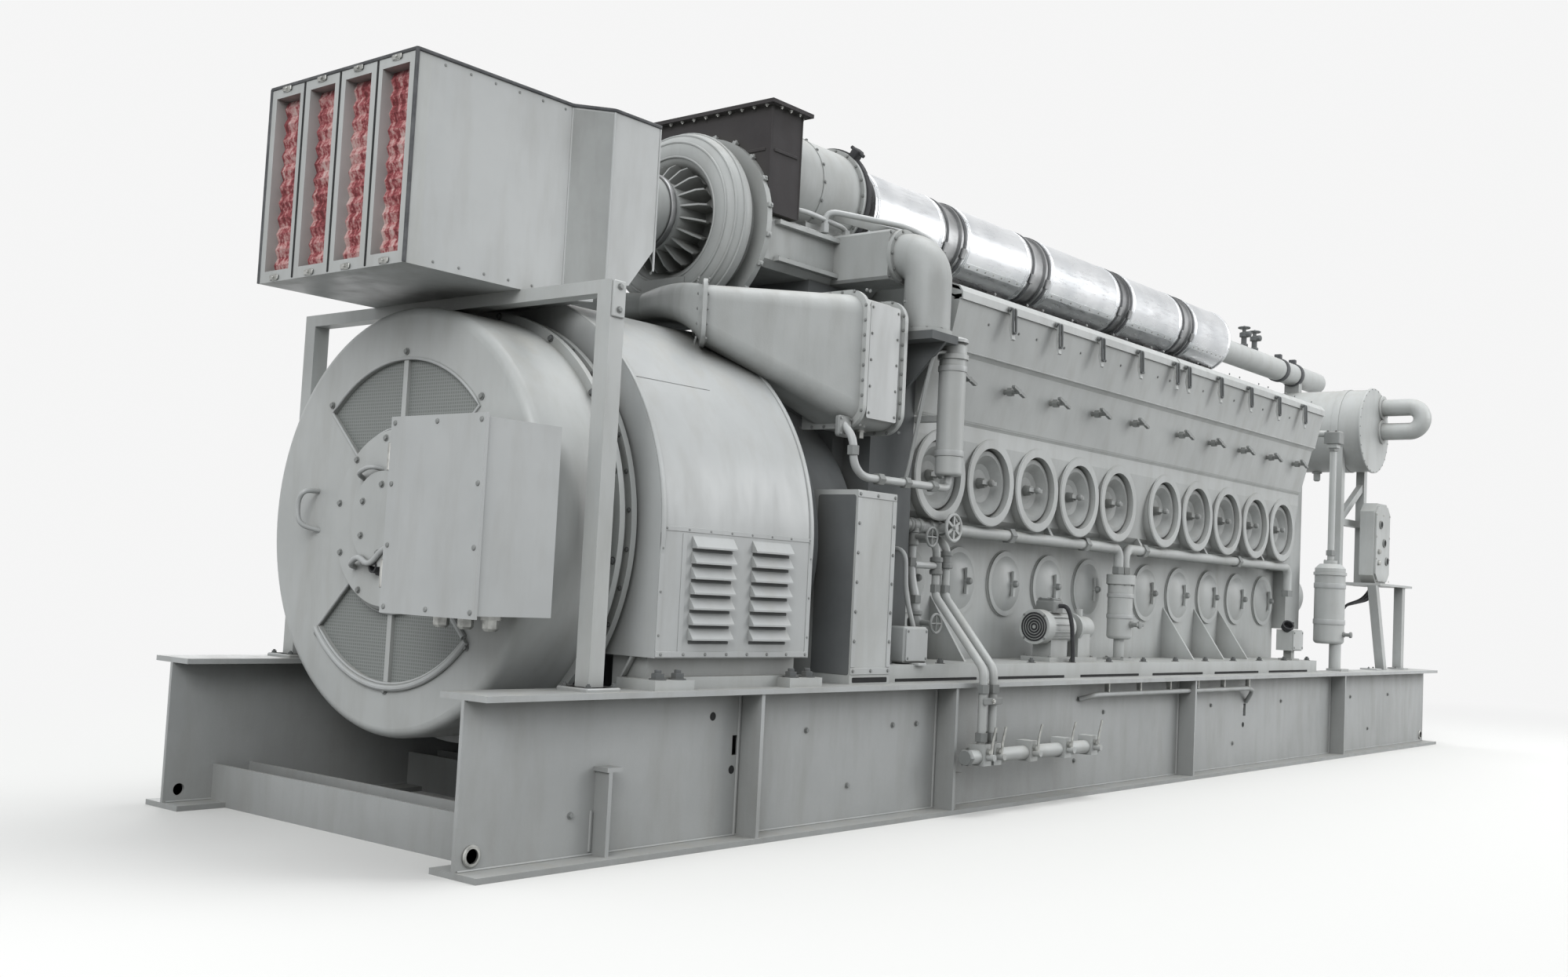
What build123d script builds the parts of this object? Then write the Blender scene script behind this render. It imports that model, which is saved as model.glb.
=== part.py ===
from build123d import *
import math
import os

# Diesel generating set: a twenty-cylinder vee engine and a single-bearing alternator on a
# two-beam skid, with a roof-high intake filter box and a turbocharger between them.
# Millimetres. X runs along the crankshaft with the alternator at -X, +Z is up, and the
# origin lies on the crank's plane under the middle of the skid.

os.makedirs("parts", exist_ok=True)

# General
seat_gap = 0.3            # gap left where a curved face meets its seat
running_gap = 0.08        # radial clearance of a hinge pin in its knuckle
crank_z = 1065            # height of the crank and alternator axis
bank_angle = 22.5         # each bank leans this far from upright

# Skid
skid_length = 9000
beam_depth = 540
flange_width = 214
flange_thick = 19
web_thick = 14
beam_y = 818              # web plane of each beam
cross_depth = 130
cross_width = 160
cross_wall = 12
cross_inset = 270         # the end members stand this far in from the beams' ends
cross_end_x = skid_length / 2 - cross_inset
cross_x = [-cross_end_x, -3350, -2450, -1400, 0, 1400, 2600, cross_end_x]
stiffener_x = [-3250, -1995, 330, 2585]
stiffener_thick = 18
tie_hole_r = 22
tie_hole_inset = 60
slot_x = [-3290, 1190]
slot_z = 300
slot_w = 36
slot_h = 70
lug_x = [-3950, -1935]
lug_height = [285, 150]
lug_width = 60
lug_reach = 62

# Alternator
bell_front_x = -4172
bell_r = 748
bell_round = 34
ring_front_x = -3860
ring_r = 778
ring_thick = 24           # each of the two bolted ring flanges
frame_r = 742
cover_front_x = -3748
cover_rear_x = -2928
cover_half = 860
cover_bottom_z = 645
cover_clear = 6
kidney_inner_r = 325
kidney_outer_r = 560
kidney_half_angle = 47
kidney_depth = 70
kidney_bar = 24
screen_thick = 6
screen_set = 14
hub_r = 312
hub_step_r = 165
hub_thick = 38
hub_step = 30
term_front_x = -4485
term_y0 = 375
term_y1 = 815
term_z0 = 767
term_z1 = 1365
term_cover_thick = 12
term_cover_lip = 10
louvre_rows = 7
louvre_x = [cover_front_x + 263, cover_rear_x - 242]
louvre_length = 212
louvre_rise = 24
louvre_height = 30
louvre_pitch = 52
louvre_z0 = 705
foot_inner = 640
foot_outer = 842
foot_thick = 40
foot_pad_length = 190
foot_pad_height = 34
rear_bell_r0 = 705
rear_bell_r1 = 640
rear_bell_rear_x = -2640

# Coupling housing between the alternator and the engine
coupling_rear_x = -2375
coupling_half = 842
coupling_top_z = 1295
coupling_arch_r = 640

# Intake filter box and its stand
box_front_x = -4514
box_plain_x = -3840
box_flare_x = -3722
box_rear_x = -3486
box_half = 409
plenum_half = 500
box_z0 = 1863
box_z1 = 2553
plenum_z0 = 1945
plenum_chamfer_x = 124
plenum_chamfer_z = 160
filter_count = 4
filter_gap = 8
filter_rim = 26
filter_depth = 60
pleat_count = 11
pleat_depth = 26
post_size = 64
post_x = -3995
rail_height = 44
base_plate_half = 62
base_plate_thick = 12

# Turbocharger
turbo_z = 2395
scroll_r = 372
scroll_x = -2842           # plane of the scroll's round tube
scroll_rear_x = scroll_x + 112
scroll_tube_r = 80
scroll_back_lip = 12
inlet_r0 = 172
inlet_r1 = 146
inlet_ribs = 20
rib_thick = 8
rib_top_r = 226
gear_front_x = scroll_rear_x + 30
gear_rear_x = -1910
gear_half = 350
gear_z0 = 2215
gear_z1 = 2440
duct_x0 = gear_front_x
duct_x1 = duct_x0 + 200
duct_half = 355
duct_rise = 119           # how far the duct stands above the scroll's back flange
duct_top_z = turbo_z + scroll_r + scroll_back_lip + duct_rise
duct_flange = 34
duct_hole_r = 7
duct_hole_inset = 15
duct_flange_thick = 16
duct_wall = 8
adapter_r = 235
adapter_neck_r = 165
adapter_front_x = duct_x1 + 45
adapter_round = 36
adapter_rear_x = -1905
adapter_lip = 17
adapter_lip_thick = 45

# Charge air: trouser ducts, aftercoolers and the elbows into the air box
cooler_x0 = -2585
cooler_x1 = -2300
cooler_y0 = 500
cooler_y1 = 790
cooler_z0 = 1560
cooler_z1 = 2085
cooler_lip = 16
cooler_lip_thick = 22
duct_in_x = -3190
duct_in_y = 470
duct_in_z = 1915
duct_in_w = 250
duct_in_h = 205
mouth_lip = 20
mouth_lip_thick = 16
scoop_mid_x = -2905
scoop_top_z = 2068
scoop_h = 110
scoop_w = 300
elbow_r = 100
elbow_x = -2125
elbow_y = 775
elbow_pad_z = 1985
elbow_pad_thick = 35
branch_half = 110
branch_drop = 6
branch_end_y = 640
top_cover_x0 = -2390
top_cover_x1 = -2060
elbow_flange = 18
elbow_lip = 20

# Engine block
cylinders_per_bank = 10
cylinder_pitch = 422.3
centre_gap = 555.1
first_cylinder_x = -1769.4
block_rear_x = -1990
block_front_x = 2420
block_bottom_z = 1180
block_half = 640
block_foot_half = 590
foot_step = 20
foot_low = 62
foot_high = 84
port_z = 1430
port_bore_r = 160
port_collar_r = 196
port_floor_y = 562
port_cover_r = 152
port_cover_rise = 58
cover_rim = 24            # flat rim of a dished cover
cover_floor = 12          # its thickness at the bottom of the dish
cover_boss_r = 26
cover_bolt_r = 11
cover_bar = 62            # half length of the clamping bar
deck_shoulder_half = 722
deck_edge_half = 742
deck_edge_z = 1975
valley_half = 300
panel_z = 1690

# Rear end housing that carries the turbocharger
rear_housing_half = 640
rear_shoulder_z = 1950
rear_neck_half = 330

# Oil pan and its rails
pan_half = 434
pan_front_x = 2560
pan_bottom_z = 300
pan_sump_half = 400
pan_cover_r = 158
pan_cover_z = 976
pan_cover_lip = 14
pan_cover_rise = 48        # height of the dome's middle over the pan's wall
pan_cover_shift = 66
pan_centre_gap = 688.6
rail_outer = 790
rail_thick = 70
gusset_x = [-1500, 920, 1340, 1690]
gusset_reach = 200
gusset_rise = 290
gusset_thick = 16

# Top deck boxes and their hinged lids
deck_wall = 12
deck_outer_top_half = 790
deck_outer_top_z = 2182
deck_inner_top_z = 2385
deck_mid_x = 257
deck_rear_x = -1900
deck_seat = 34
lid_sheet = 6
lid_rear_x = -1896
lid_front_x = 2416
lid_end_gap = 8
lid_hinge_y = 284
lid_hinge_z = 2404
lid_edge_half = 802
lid_edge_z = 2232
latch_shift = 265
latch_gap = 146
latch_width = 26
latch_drop = 124
knuckle_r = 15
pin_r = 7
knuckle_length = 70
knuckles_per_lid = 4
head_r = 116
head_thick = 55
rocker_length = 200
rocker_width = 44
rocker_height = 60

# Exhaust manifold and its lagging
manifold_z = 2697
manifold_r = 165
manifold_x0 = -1860
manifold_x1 = 2250
lagging_r = 205
lagging_spans = [(-1750, -1165), (-960, -325), (-115, 700), (860, 1540), (1720, 2290)]
band_r = 192
band_gap = 4
riser_r = 80
vent_r = 80
vent_joint = 60
vent_end_x = 4380

# Test valves on the panel over the ports
valve_r = 11
valve_nut_r = 21
valve_length = 84
valve_handle = 112
valve_turn = 20
valve_z = 1850

# Accessory end
gearcase_rear_x = 2420
gearcase_front_x = 2800
gearcase_half = 520
gearcase_z0 = 800
gearcase_z1 = 1950
tank_x = 3925
tank_z = 2262
tank_r = 300
tank_half = 600
tank_rim = 10
tank_end_thick = 14
bend_pipe_r = 62
bend_r = 88
bend_shift = 165
bend_rise = 98
bend_reach = 900
stand_tube = 60
stand_x0 = 3690
stand_x1 = 4160
stand_post_y = 745
stand_upright_y = 450
leg_lean = 210
brace_z0 = 1560
brace_z1 = 1905
brace_depth = 46
shelf_z = 1130
shelf_thick = 16
control_x0 = 3830
control_x1 = 4150
control_y0 = 560
control_y1 = 660
control_top_z = 1730
control_chamfer = 62
control_holes = [(-60, 430), (20, 300), (80, 170)]
control_hole_r = 24
fuel_filter_x = 2870
fuel_filter_y = 700
fuel_filter_r = 98
fuel_filter_z0 = 715
fuel_filter_z1 = 1245
riser_top_z = 2120
riser_in_x = 2745
riser_in_y = 390
filter_riser_r = 22

# Near-side service gear
lube_filter_x = -1979
lube_filter_y = 820
lube_filter_r = 58
lube_filter_z0 = 1405
lube_filter_z1 = 1975
pump_y = 640
pump_z = 775
motor_r = 76
motor_fins = 14
fan_cowl = 66
pump_body_r = 58
stub_r = 18
motor_x0 = -900
motor_x1 = -620
pump_x1 = -400
junction_x = 2180
junction_y = 700
junction_z0 = 670
junction_z1 = 800
strainer_x = 60
strainer_span = 35
strainer_y = 600
strainer_r = 66
strainer_z0 = 720
strainer_z1 = 1060
gallery_r = 26
gallery_drop = 190        # how far the accessory-end tail hangs down
gallery_valve_r = 33
gallery_valve_length = 130
gallery_wheel_r = 58
gallery_x0 = -1660
gallery_x1 = 2380
clip_x = [-1557, -712, 265, 1108, 1953]
gallery_clip = 24
gallery_z = 1200
drain_pipe_r = 24
drain_x = [-1880, -1800]
drain_start_x = [-1730, -1650]
drain_start_z = 1152
drain_knee_z = 900
drain_turn_z = 600
drain_manifold_x0 = -1980
drain_manifold_x1 = -890
drain_manifold_r = 30
drain_block_x = [-1880, -1800, -1500, -1200, -950]
drain_block_top = 292
drain_y = 975
drain_manifold_z = 240


def span(x0, x1, y0, y1, z0, z1):
    """A box given by its limits."""
    size = (abs(x1 - x0), abs(y1 - y0), abs(z1 - z0))
    return Pos((x0 + x1) / 2, (y0 + y1) / 2, (z0 + z1) / 2) * Box(*size)


def rod_x(r, x0, x1, y, z):
    """A round bar along X."""
    return Pos((x0 + x1) / 2, y, z) * Rot(0, 90, 0) * Cylinder(r, abs(x1 - x0))


def rod_y(r, x, y0, y1, z):
    """A round bar along Y."""
    return Pos(x, (y0 + y1) / 2, z) * Rot(90, 0, 0) * Cylinder(r, abs(y1 - y0))


def rod_z(r, x, y, z0, z1):
    """An upright round bar."""
    return Pos(x, y, (z0 + z1) / 2) * Cylinder(r, abs(z1 - z0))


def prism_x(points, x0, x1):
    """A (y, z) outline drawn out along X."""
    face = Plane.YZ * make_face(Polyline(*points, close=True))
    return Pos(x0, 0, 0) * extrude(face, x1 - x0)


def prism_y(points, y0, y1):
    """An (x, z) outline drawn out along Y, towards +Y."""
    face = Plane.XZ * make_face(Polyline(*points, close=True))
    return Pos(0, y0, 0) * extrude(face, -(y1 - y0))


def far(shape):
    """The same shape on the far side."""
    return mirror(shape, Plane.XZ)


def both(shape):
    """A shape on the far side and its image on the near side."""
    return [shape, far(shape)]


def pipe_run(points, r, bend):
    """A round pipe along straight runs joined by bends."""
    path = FilletPolyline(*points, radius=bend)
    start = Plane(origin=path @ 0, z_dir=path % 0)
    return sweep(start * Circle(r), path=path)


def write(name, *shapes):
    """Writes one node; its solids stay separate."""
    solids = []
    for shape in shapes:
        solids += shape.solids()
    export_step(Compound(children=solids), f"parts/{name}.step")


def cylinder_x(index, shift=0.0, gap=centre_gap):
    """Station of a cylinder, counted from the alternator end."""
    extra = gap - cylinder_pitch if index >= cylinders_per_bank // 2 else 0.0
    return first_cylinder_x + shift + index * cylinder_pitch + extra


stations = [cylinder_x(i) for i in range(cylinders_per_bank)]
half_length = skid_length / 2


def skid_beam():
    """Rolled beam with stiffeners, tie-down lugs and end holes, on the far side."""
    fw = flange_width / 2
    tw = web_thick / 2
    top = beam_depth - flange_thick
    outline = [
        (beam_y - fw, 0), (beam_y + fw, 0), (beam_y + fw, flange_thick), (beam_y + tw, flange_thick),
        (beam_y + tw, top), (beam_y + fw, top), (beam_y + fw, beam_depth), (beam_y - fw, beam_depth),
        (beam_y - fw, top), (beam_y - tw, top), (beam_y - tw, flange_thick), (beam_y - fw, flange_thick),
    ]
    beam = prism_x(outline, -half_length, half_length)
    for x in stiffener_x:
        rib_end = x + stiffener_thick
        beam += span(x, rib_end, beam_y + tw, beam_y + fw - 6, flange_thick, top)
    for x, height in zip(lug_x, lug_height):
        beam += span(x, x + 16, beam_y + tw, beam_y + tw + lug_reach, flange_thick, height)
        beam += span(x - 8, x + lug_width, beam_y + tw, beam_y + tw + lug_reach, height, height + 14)
    for end in (-1, 1):
        x = end * (half_length - tie_hole_inset)
        beam -= rod_y(tie_hole_r, x, beam_y - fw, beam_y + fw, flange_thick + 2 * tie_hole_r)
    for x in slot_x:
        beam -= span(x, x + slot_w, beam_y - tw - 1, beam_y + tw + 1, slot_z, slot_z + slot_h)
    return beam


def cross_member(x, width):
    """Channel on its back between the two webs, on the bottom flanges."""
    z0 = flange_thick
    z1 = flange_thick + cross_depth
    reach = beam_y - web_thick / 2
    half = width / 2
    outline = [
        (x - half, z0), (x + half, z0), (x + half, z1), (x + half - cross_wall, z1),
        (x + half - cross_wall, z0 + cross_wall), (x - half + cross_wall, z0 + cross_wall),
        (x - half + cross_wall, z1), (x - half, z1),
    ]
    member = prism_y(outline, -reach, reach)
    inner = beam_y - flange_width / 2
    return member + span(x - half, x + half, -inner, inner, 0, z0)


def sector(r0, r1, half_angle, x0, x1, up):
    """Kidney-shaped block about the alternator axis, above or below it."""
    middle = 90 if up else -90
    ring = rod_x(r1, x0, x1, 0, crank_z) - rod_x(r0, x0 - 1, x1 + 1, 0, crank_z)
    far_r = 2 * r1
    points = [(0, crank_z)]
    for turn in (-half_angle, 0, half_angle):
        a = math.radians(middle + turn)
        points.append((far_r * math.cos(a), crank_z + far_r * math.sin(a)))
    return ring & prism_x(points, x0 - 1, x1 + 1)


def end_bell():
    """Alternator end bell: round-edged drum, bolted ring flange and two kidney pockets."""
    bell = rod_x(bell_r, bell_front_x, ring_front_x, 0, crank_z)
    bell = fillet(bell.edges().filter_by(GeomType.CIRCLE).group_by(Axis.X)[0], bell_round)
    bell += rod_x(ring_r, ring_front_x, ring_front_x + ring_thick, 0, crank_z)
    for up in (True, False):
        pocket = sector(
            kidney_inner_r, kidney_outer_r, kidney_half_angle,
            bell_front_x - 1, bell_front_x + kidney_depth, up,
        )
        bar_z0 = crank_z if up else crank_z - ring_r
        bar_z1 = crank_z + ring_r if up else crank_z
        bar = span(
            bell_front_x - 2, bell_front_x + kidney_depth + 1,
            -kidney_bar / 2, kidney_bar / 2, bar_z0, bar_z1,
        )
        bell -= pocket - bar
    return bell


def screens():
    """Two mesh panels let into each kidney, one either side of its bar."""
    parts = []
    x0 = bell_front_x + screen_set
    for up in (True, False):
        block = sector(
            kidney_inner_r + seat_gap, kidney_outer_r - seat_gap, kidney_half_angle - 0.1,
            x0, x0 + screen_thick, up,
        )
        half = kidney_bar / 2
        block -= span(x0 - 1, x0 + screen_thick + 1, -half, half, crank_z - ring_r, crank_z + ring_r)
        parts.append(block)
    return parts


def terminal_box():
    """Terminal box on the bell's face, reaching past its rim, with a lipped front cover."""
    box = span(term_front_x + term_cover_thick, bell_front_x, -term_y1, -term_y0, term_z0, term_z1)
    cover = span(
        term_front_x, term_front_x + term_cover_thick,
        -term_y1 - term_cover_lip, -term_y0 + term_cover_lip,
        term_z0 - term_cover_lip, term_z1 + term_cover_lip,
    )
    return box + cover


def bearing_cover():
    """Stepped cover over the outboard bearing."""
    x1 = bell_front_x
    x0 = x1 - hub_thick
    cover = rod_x(hub_r, x0, x1, 0, crank_z)
    cover = chamfer(cover.edges().filter_by(GeomType.CIRCLE).group_by(Axis.X)[0], 12)
    cover += rod_x(hub_step_r, x0 - hub_step, x0, 0, crank_z)
    return cover


def stator_frame():
    """Stator frame: a drum with its own ring flange set back from the bell's."""
    x0 = ring_front_x + ring_thick
    frame = rod_x(frame_r, x0, cover_front_x, 0, crank_z)
    frame += rod_x(ring_r - 8, cover_front_x - 2 * ring_thick, cover_front_x - ring_thick, 0, crank_z)
    return frame


def stator_cover():
    """Sheet wrap of the stator: round top, straight sides, pressed louvres."""
    body = rod_x(cover_half, cover_front_x, cover_rear_x, 0, crank_z)
    body += span(cover_front_x, cover_rear_x, -cover_half, cover_half, cover_bottom_z, crank_z)
    low = span(cover_front_x - 1, cover_rear_x + 1, -cover_half - 1, cover_half + 1, 0, cover_bottom_z)
    body -= low
    for x in louvre_x:
        for row in range(louvre_rows):
            z = louvre_z0 + row * louvre_pitch
            hood = [
                (cover_half, z + louvre_height + 12),
                (cover_half + louvre_rise, z + 6),
                (cover_half + louvre_rise, z),
                (cover_half, z),
            ]
            hood_far = prism_x(hood, x - louvre_length / 2, x + louvre_length / 2)
            body += hood_far
            body += far(hood_far)
    return body


def alternator_feet():
    """Foot rails under the cover, with a bolted pad at each end."""
    top = cover_bottom_z
    outline = [
        (foot_inner, beam_depth), (foot_outer, beam_depth), (foot_outer, beam_depth + foot_thick),
        (foot_outer - 40, beam_depth + foot_thick), (foot_outer - 40, top), (foot_inner, top),
    ]
    rail = prism_x(outline, cover_front_x + 30, cover_rear_x - 10)
    for x0 in (cover_front_x - 30, cover_rear_x + 40 - foot_pad_length):
        z0 = beam_depth
        rail += span(x0, x0 + foot_pad_length, foot_outer - 120, foot_outer + 60, z0, z0 + foot_pad_height)
    return both(rail)


def rear_bell():
    """Coned rear bell of the alternator, down to the coupling."""
    profile = [
        (cover_rear_x, 0), (rear_bell_rear_x, 0), (rear_bell_rear_x, rear_bell_r1),
        (rear_bell_rear_x - 60, rear_bell_r0), (cover_rear_x, rear_bell_r0),
    ]
    face = Plane.XZ * make_face(Polyline(*profile, close=True))
    return Pos(0, 0, crank_z) * revolve(face, Axis.X)


def coupling_housing():
    """Box guard over the flywheel and coupling, with an arched top."""
    body = span(rear_bell_rear_x, coupling_rear_x, -coupling_half, coupling_half, beam_depth, coupling_top_z)
    arch = rod_x(coupling_arch_r, rear_bell_rear_x, coupling_rear_x, 0, crank_z)
    cut_half = coupling_half + 60
    arch -= span(rear_bell_rear_x - 1, coupling_rear_x + 1, -cut_half, cut_half, 0, coupling_top_z)
    return body + arch


def filter_housing():
    """Intake filter box: plain body, flared strip and plenum with a round outlet."""
    body = span(box_front_x + filter_depth, box_plain_x, -box_half, box_half, box_z0, box_z1)
    flare = [
        (box_plain_x, -box_half), (box_flare_x, -plenum_half),
        (box_flare_x, plenum_half), (box_plain_x, box_half),
    ]
    flare_face = Pos(0, 0, box_z0) * make_face(Polyline(*flare, close=True))
    body += extrude(flare_face, box_z1 - box_z0)
    side = [
        (box_flare_x, plenum_z0), (box_rear_x - plenum_chamfer_x, plenum_z0),
        (box_rear_x, plenum_z0 + plenum_chamfer_z), (box_rear_x, box_z1), (box_flare_x, box_z1),
    ]
    body += prism_y(side, -plenum_half, plenum_half)
    over_cover = crank_z + cover_half + cover_clear
    body -= span(cover_front_x - cover_clear, box_rear_x, -plenum_half, plenum_half, box_z0, over_cover)
    return body


def filter_frames():
    """Four tall filter frames side by side at the mouth of the box."""
    width = (2 * box_half - (filter_count + 1) * filter_gap) / filter_count
    plate_shape = span(box_front_x, box_front_x + filter_depth, -box_half, box_half, box_z0, box_z1)
    for index in range(filter_count):
        y0 = -box_half + filter_gap + index * (width + filter_gap) + filter_rim
        y1 = y0 + width - 2 * filter_rim
        z0 = box_z0 + 1.5 * filter_rim
        z1 = box_z1 - 1.5 * filter_rim
        plate_shape -= span(box_front_x - 1, box_front_x + filter_depth + 1, y0, y1, z0, z1)
    return plate_shape


def filter_media():
    """Pleated media block in each frame."""
    width = (2 * box_half - (filter_count + 1) * filter_gap) / filter_count
    parts = []
    for index in range(filter_count):
        y0 = -box_half + filter_gap + index * (width + filter_gap) + filter_rim
        y1 = y0 + width - 2 * filter_rim
        z0 = box_z0 + 1.5 * filter_rim
        z1 = box_z1 - 1.5 * filter_rim
        back = box_front_x + filter_depth
        front = box_front_x + filter_depth - pleat_depth
        step = (z1 - z0) / pleat_count
        outline = [(back, z0)]
        for pleat in range(pleat_count):
            outline.append((front + 12, z0 + pleat * step))
            outline.append((front, z0 + (pleat + 0.5) * step))
        outline.append((front + 12, z1))
        outline.append((back, z1))
        parts.append(prism_y(outline, y0, y1))
    return parts


def filter_stand():
    """Two square posts on the skid flanges and the rails that carry the box."""
    half = post_size / 2
    rail_z0 = box_z0 - rail_height
    rail = span(post_x - half, post_x + half, -beam_y - half, beam_y + half, rail_z0, box_z0)
    foot_z = beam_depth + base_plate_thick
    post = span(post_x - half, post_x + half, beam_y - half, beam_y + half, foot_z, rail_z0)
    post += span(
        post_x - base_plate_half, post_x + base_plate_half,
        beam_y - base_plate_half, beam_y + base_plate_half, beam_depth, foot_z,
    )
    return [rail] + both(post)


def turbo_inlet():
    """Inlet cone from the plenum into the eye of the scroll, with thin radial vanes round it."""
    x0 = box_rear_x
    x1 = scroll_x
    profile = [
        (x0, 0), (x1, 0), (x1, inlet_r1), (scroll_x - 2 * scroll_tube_r, inlet_r1),
        (x0 + 260, inlet_r0), (x0 + 130, inlet_r0), (x0 + 130, inlet_r0 + 22), (x0 + 95, inlet_r0 + 22),
        (x0 + 95, inlet_r0), (x0, inlet_r0),
    ]
    face = Plane.XZ * make_face(Polyline(*profile, close=True))
    cone = Pos(0, 0, turbo_z) * revolve(face, Axis.X)
    eye_r = scroll_r - 2 * scroll_tube_r - 4
    rib = [
        (scroll_x - 2 * scroll_tube_r, inlet_r1 - 6), (scroll_x - 1.4 * scroll_tube_r, rib_top_r - 20),
        (scroll_x - scroll_tube_r, rib_top_r), (scroll_x - 0.72 * scroll_tube_r, eye_r + 14),
        (scroll_x - 0.3 * scroll_tube_r, eye_r - 5), (x1, eye_r - 5), (x1, inlet_r1 - 6),
    ]
    for index in range(inlet_ribs):
        turn = 360 / inlet_ribs * (index + 0.5)
        cone += Pos(0, 0, turbo_z) * Rot(turn, 0, 0) * prism_y(rib, -rib_thick / 2, rib_thick / 2)
    return cone


def turbo_scroll():
    """Compressor scroll: a round tube about the turbocharger axis, its web and its back flange."""
    ring_mid = scroll_r - scroll_tube_r
    tube = Plane(origin=(scroll_x, 0, turbo_z + ring_mid), z_dir=(0, 1, 0)) * Circle(scroll_tube_r)
    scroll = revolve(tube, Axis((0, 0, turbo_z), (1, 0, 0)))
    scroll += rod_x(ring_mid + 20, scroll_x, scroll_rear_x, 0, turbo_z)
    return scroll + rod_x(scroll_r + scroll_back_lip, scroll_rear_x, gear_front_x, 0, turbo_z)


def gear_case():
    """Turbine and gear case behind the scroll, with side ribs and a branch to each elbow."""
    body = span(gear_front_x, gear_rear_x, -gear_half, gear_half, gear_z0, gear_z1)
    body = chamfer(body.edges().filter_by(Axis.X), 30)
    body += span(top_cover_x0, top_cover_x1, -gear_half + 40, -gear_half + 190, gear_z1, gear_z1 + 26)
    branch_top = gear_z1 - branch_drop
    branch = span(
        elbow_x - branch_half, elbow_x + branch_half, gear_half - 40, branch_end_y,
        gear_z0 + branch_drop, branch_top,
    )
    branch = chamfer(branch.edges().filter_by(Axis.Y), 12)
    side_rib_x1 = elbow_x - branch_half
    for z in (gear_z0 + 36, gear_z1 - 36):
        for side in (-1, 1):
            y0 = side * (gear_half - 4)
            y1 = side * (gear_half + 30)
            body += span(gear_front_x + 60, side_rib_x1, y0, y1, z - 9, z + 9)
    for solid in both(branch):
        body += solid
    return body


def exhaust_duct():
    """Narrow rectangular exhaust duct with a drilled top flange, open at the top."""
    z0 = gear_z1
    duct = span(duct_x0, duct_x1, -duct_half, duct_half, z0, duct_top_z)
    duct += span(
        duct_x0 - duct_flange, duct_x1 + duct_flange,
        -duct_half - duct_flange, duct_half + duct_flange,
        duct_top_z - duct_flange_thick, duct_top_z,
    )
    duct -= span(
        duct_x0 + duct_wall, duct_x1 - duct_wall,
        -duct_half + duct_wall, duct_half - duct_wall, z0 + duct_wall, duct_top_z + 1,
    )
    x_mid = (duct_x0 + duct_x1) / 2
    hole_x = (duct_x1 - duct_x0) / 2 + duct_flange - duct_hole_inset
    hole_y = duct_half + duct_flange - duct_hole_inset
    for x in (x_mid - hole_x, x_mid + hole_x):
        for y in (-hole_y, hole_y):
            duct -= rod_z(duct_hole_r, x, y, duct_top_z - duct_flange_thick - 1, duct_top_z + 1)
    return duct


def manifold_adapter():
    """Round lagged adapter between the exhaust duct and the manifold, on a neck from the gear case."""
    body = rod_x(adapter_r, adapter_front_x, adapter_rear_x, 0, manifold_z)
    body = fillet(body.edges().filter_by(GeomType.CIRCLE).group_by(Axis.X)[0], adapter_round)
    body += rod_x(adapter_neck_r, duct_x1, adapter_front_x, 0, manifold_z)
    body += rod_x(adapter_r + adapter_lip, adapter_rear_x, adapter_rear_x + adapter_lip_thick, 0, manifold_z)
    neck = span(duct_x1 + 120, gear_rear_x - 60, -130, 130, gear_z1, manifold_z)
    return body + neck


def aftercooler():
    """Aftercooler box with a bolted lip front and rear, far side."""
    box = span(cooler_x0, cooler_x1, cooler_y0, cooler_y1, cooler_z0, cooler_z1)
    box = fillet(box.edges().filter_by(Axis.X).group_by(Axis.Y)[-1], 90)
    for x in (cooler_x0, cooler_x1 - cooler_lip_thick):
        lip = span(
            x, x + cooler_lip_thick, cooler_y0, cooler_y1 + cooler_lip,
            cooler_z0 - cooler_lip, cooler_z1 + cooler_lip,
        )
        box += fillet(lip.edges().filter_by(Axis.X).group_by(Axis.Y)[-1], 90)
    return box


def charge_duct():
    """Duct from under the scroll, widening to the aftercooler's face, far side."""
    small_face = duct_mouth(0)
    big_y = (cooler_y0 + cooler_y1) / 2
    big_z = (cooler_z0 + cooler_z1) / 2
    big = Plane(origin=(cooler_x0, big_y, big_z), x_dir=(0, 1, 0), z_dir=(1, 0, 0))
    big_face = big * RectangleRounded(cooler_y1 - cooler_y0 - 8, cooler_z1 - cooler_z0 - 8, 80)
    duct = loft([small_face, big_face])
    duct += extrude(duct_mouth(0, mouth_lip), mouth_lip_thick)
    return duct - rod_x(cover_half + cover_clear, cover_front_x, cover_rear_x + cover_clear, 0, crank_z)


def duct_mouth(back, lip=0):
    """Rounded section where scoop and duct meet, set back along its axis or widened by a lip."""
    reach = back / math.sqrt(2)
    origin = (duct_in_x - reach, duct_in_y - reach, duct_in_z)
    mouth = Plane(origin=origin, x_dir=(-1, 1, 0), z_dir=(1, 1, 0))
    return mouth * RectangleRounded(duct_in_w + 2 * lip, duct_in_h + 2 * lip, 60)


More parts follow.
